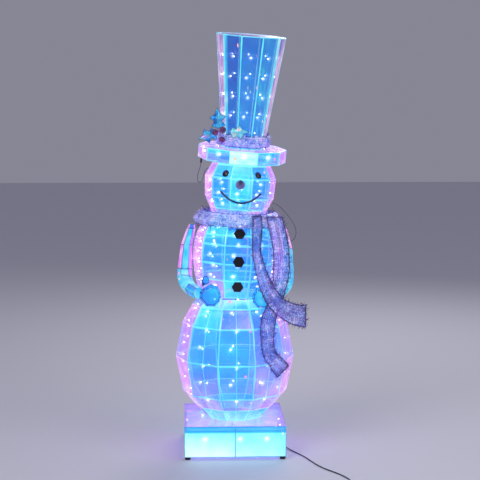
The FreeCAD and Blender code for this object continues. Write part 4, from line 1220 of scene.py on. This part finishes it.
def hollyPieces():
    mesh = cleanCopy("holly_leaves")
    leaves = list(shells(mesh))
    for index, group in enumerate(sorted(leaves,
                                         key=lambda g: sum(f.calc_center_median().x for f in g) / len(g))):
        plates = sorted(group, key=lambda face: face.calc_area())[-2:]
        front, back = sorted(plates, key=lambda face: face.calc_center_median().y)
        rim = [vert.co.copy() for vert in front.verts]
        depth = back.calc_center_median() - front.calc_center_median()
        heart = sum(rim, Vector()) / len(rim)
        made = bmesh.new()
        # domed film on both sides: rings shrink toward the heart and rise
        for way in (0, 1):
            rings = []
            for k in range(5):
                share = k / 5
                lift = depth.normalized() * (0.0035 * math.sin(share * math.pi / 2)) * (1 if way else -1)
                ring = []
                for n, spot in enumerate(rim):
                    following = rim[(n + 1) % len(rim)]
                    for part in range(4):
                        edgeSpot = spot.lerp(following, part / 4)
                        creased = 0.0011 * math.sin(part * math.pi / 2) * (1 - share)
                        ring.append(made.verts.new(edgeSpot.lerp(heart, share) + depth * way + lift
                                                   + depth.normalized() * creased))
                rings.append(ring)
            tip = made.verts.new(heart + depth * way + depth.normalized() * (0.0038 if way else -0.0038))
            for a, b in zip(rings, rings[1:]):
                for n in range(len(a)):
                    m = (n + 1) % len(a)
                    made.faces.new((a[n], a[m], b[m], b[n]))
            for n in range(len(rings[-1])):
                made.faces.new((rings[-1][n], rings[-1][(n + 1) % len(rings[-1])], tip))
        bmesh.ops.remove_doubles(made, verts=made.verts, dist=1e-6)
        bmesh.ops.recalc_face_normals(made, faces=made.faces)
        shape = bpy.data.meshes.new("hollyLeaf")
        made.to_mesh(shape)
        made.free()
        leaf = meshObject("hollyLeaf" + "ABC"[index], shape)
        dress(leaf, hollyPale if index == 2 else hollyFilm)
        line = bpy.data.curves.new("hollyOutline", "CURVE")
        line.dimensions = "3D"
        line.bevel_depth = 0.0011
        line.bevel_resolution = 2
        for way in (0, 1):
            loop = line.splines.new("POLY")
            loop.points.add(len(rim) - 1)
            for point, spot in zip(loop.points, rim):
                point.co = (*(spot + depth * way), 1.0)
            loop.use_cyclic_u = True
        for n, spot in enumerate(rim):
            vein = line.splines.new("POLY")
            vein.points.add(1)
            lift = depth.normalized() * -0.0040
            for point, end in zip(vein.points, (spot, heart.lerp(spot, 0.12) + lift)):
                point.co = (*end, 1.0)
                point.radius = 0.45
        drawn = bpy.data.objects.new("hollyOutlineCurve", line)
        bpy.context.collection.objects.link(drawn)
        ready = drawn.evaluated_get(bpy.context.evaluated_depsgraph_get())
        outline = meshObject("hollyOutline" + "ABC"[index], bpy.data.meshes.new_from_object(ready))
        bpy.data.objects.remove(drawn)
        dress(outline, outlineEnamel)
        yield leaf, outline
    mesh.free()


for leaf, outline in hollyPieces():
    for piece in (leaf, outline):
        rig.ride(piece, "hat")
        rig.slot(piece, "leaf_film")
    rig.replaces(leaf, "holly_leaves")

berryGlitter, berryTree, berryShader = newMaterial("glitterDippedFoam", Roughness=0.35)
berryPlace = addNode(berryTree, "ShaderNodeTexCoord").outputs["Object"]
berryFlake = addNode(berryTree, "ShaderNodeTexVoronoi", {"Vector": berryPlace, "Scale": 620.0})
berryTone = addNode(berryTree, "ShaderNodeSeparateColor", {"Color": berryFlake.outputs["Color"]})
berryColour = addNode(berryTree, "ShaderNodeValToRGB", {"Fac": berryTone.outputs[0]},
                      stops=[(0.0, "#2a1438"), (0.55, "#5b2a63"), (0.85, "#8a3f86"), (1.0, "#ff8fc8")])
berryTree.links.new(berryColour.outputs["Color"], berryShader.inputs["Base Color"])
berryTree.links.new(berryColour.outputs["Color"], berryShader.inputs["Emission Color"])
# painted sparkle highlight: random glitter flakes glow
berryPaintedSparkle = addNode(berryTree, "ShaderNodeMapRange", {"Value": berryTone.outputs[1], 1: 0.75, 2: 1.0,
                                                       3: 0.04, 4: 0.9}).outputs[0]
berryTree.links.new(berryPaintedSparkle, berryShader.inputs["Emission Strength"])
berryBump = addNode(berryTree, "ShaderNodeBump", {"Strength": 0.9, "Distance": 0.0009,
                                                  "Height": berryTone.outputs[2]})
berryTree.links.new(berryBump.outputs["Normal"], berryShader.inputs["Normal"])
dress(frame["nodes"]["holly_berries"], berryGlitter)
print("holly made")


# floor and light
floorMesh = bpy.data.meshes.new("floor")
floorReach = 16.0
floorMesh.from_pydata([(-floorReach, -floorReach, 0), (floorReach, -floorReach, 0),
                       (floorReach, floorReach, 0), (-floorReach, floorReach, 0)], [], [(0, 1, 2, 3)])
floor = meshObject("floor", floorMesh)
floorPaint = newMaterial("paleFloor", Base_Color=linear("#d6d5df"), Roughness=0.6)[0]
dress(floor, floorPaint)
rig.stage(floor)
world = bpy.data.worlds.new("studio")
bpy.context.scene.world = world
world.use_nodes = True
world.node_tree.nodes["Background"].inputs["Color"].default_value = linear("#b9b8cc")
world.node_tree.nodes["Background"].inputs["Strength"].default_value = 0.50
for name, at, size, watts in (("keyLight", (-2.6, -3.4, 3.6), 2.4, 90.0), ("fillLight", (3.0, -2.6, 2.2),
                                                            2.4, 40.0),
                              ("backLight", (1.2, 3.4, 3.2), 2.0, 50.0)):
    light = bpy.data.lights.new(name, "AREA")
    light.size = size
    light.energy = watts
    holder = bpy.data.objects.new(name, light)
    holder.location = at
    aim = Vector((0.0, 0.0, 0.9)) - Vector(at)
    holder.rotation_euler = aim.to_track_quat("-Z", "Y").to_euler()
    bpy.context.scene.collection.objects.link(holder)
bpy.context.scene.view_settings.view_transform = "Standard"

sizes = {"cad": [list(cadLow), list(cadHigh)], "visual": [list(corner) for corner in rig.bounds()]}
with open("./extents.json", "w") as record:
    json.dump(sizes, record)
print("scene done")
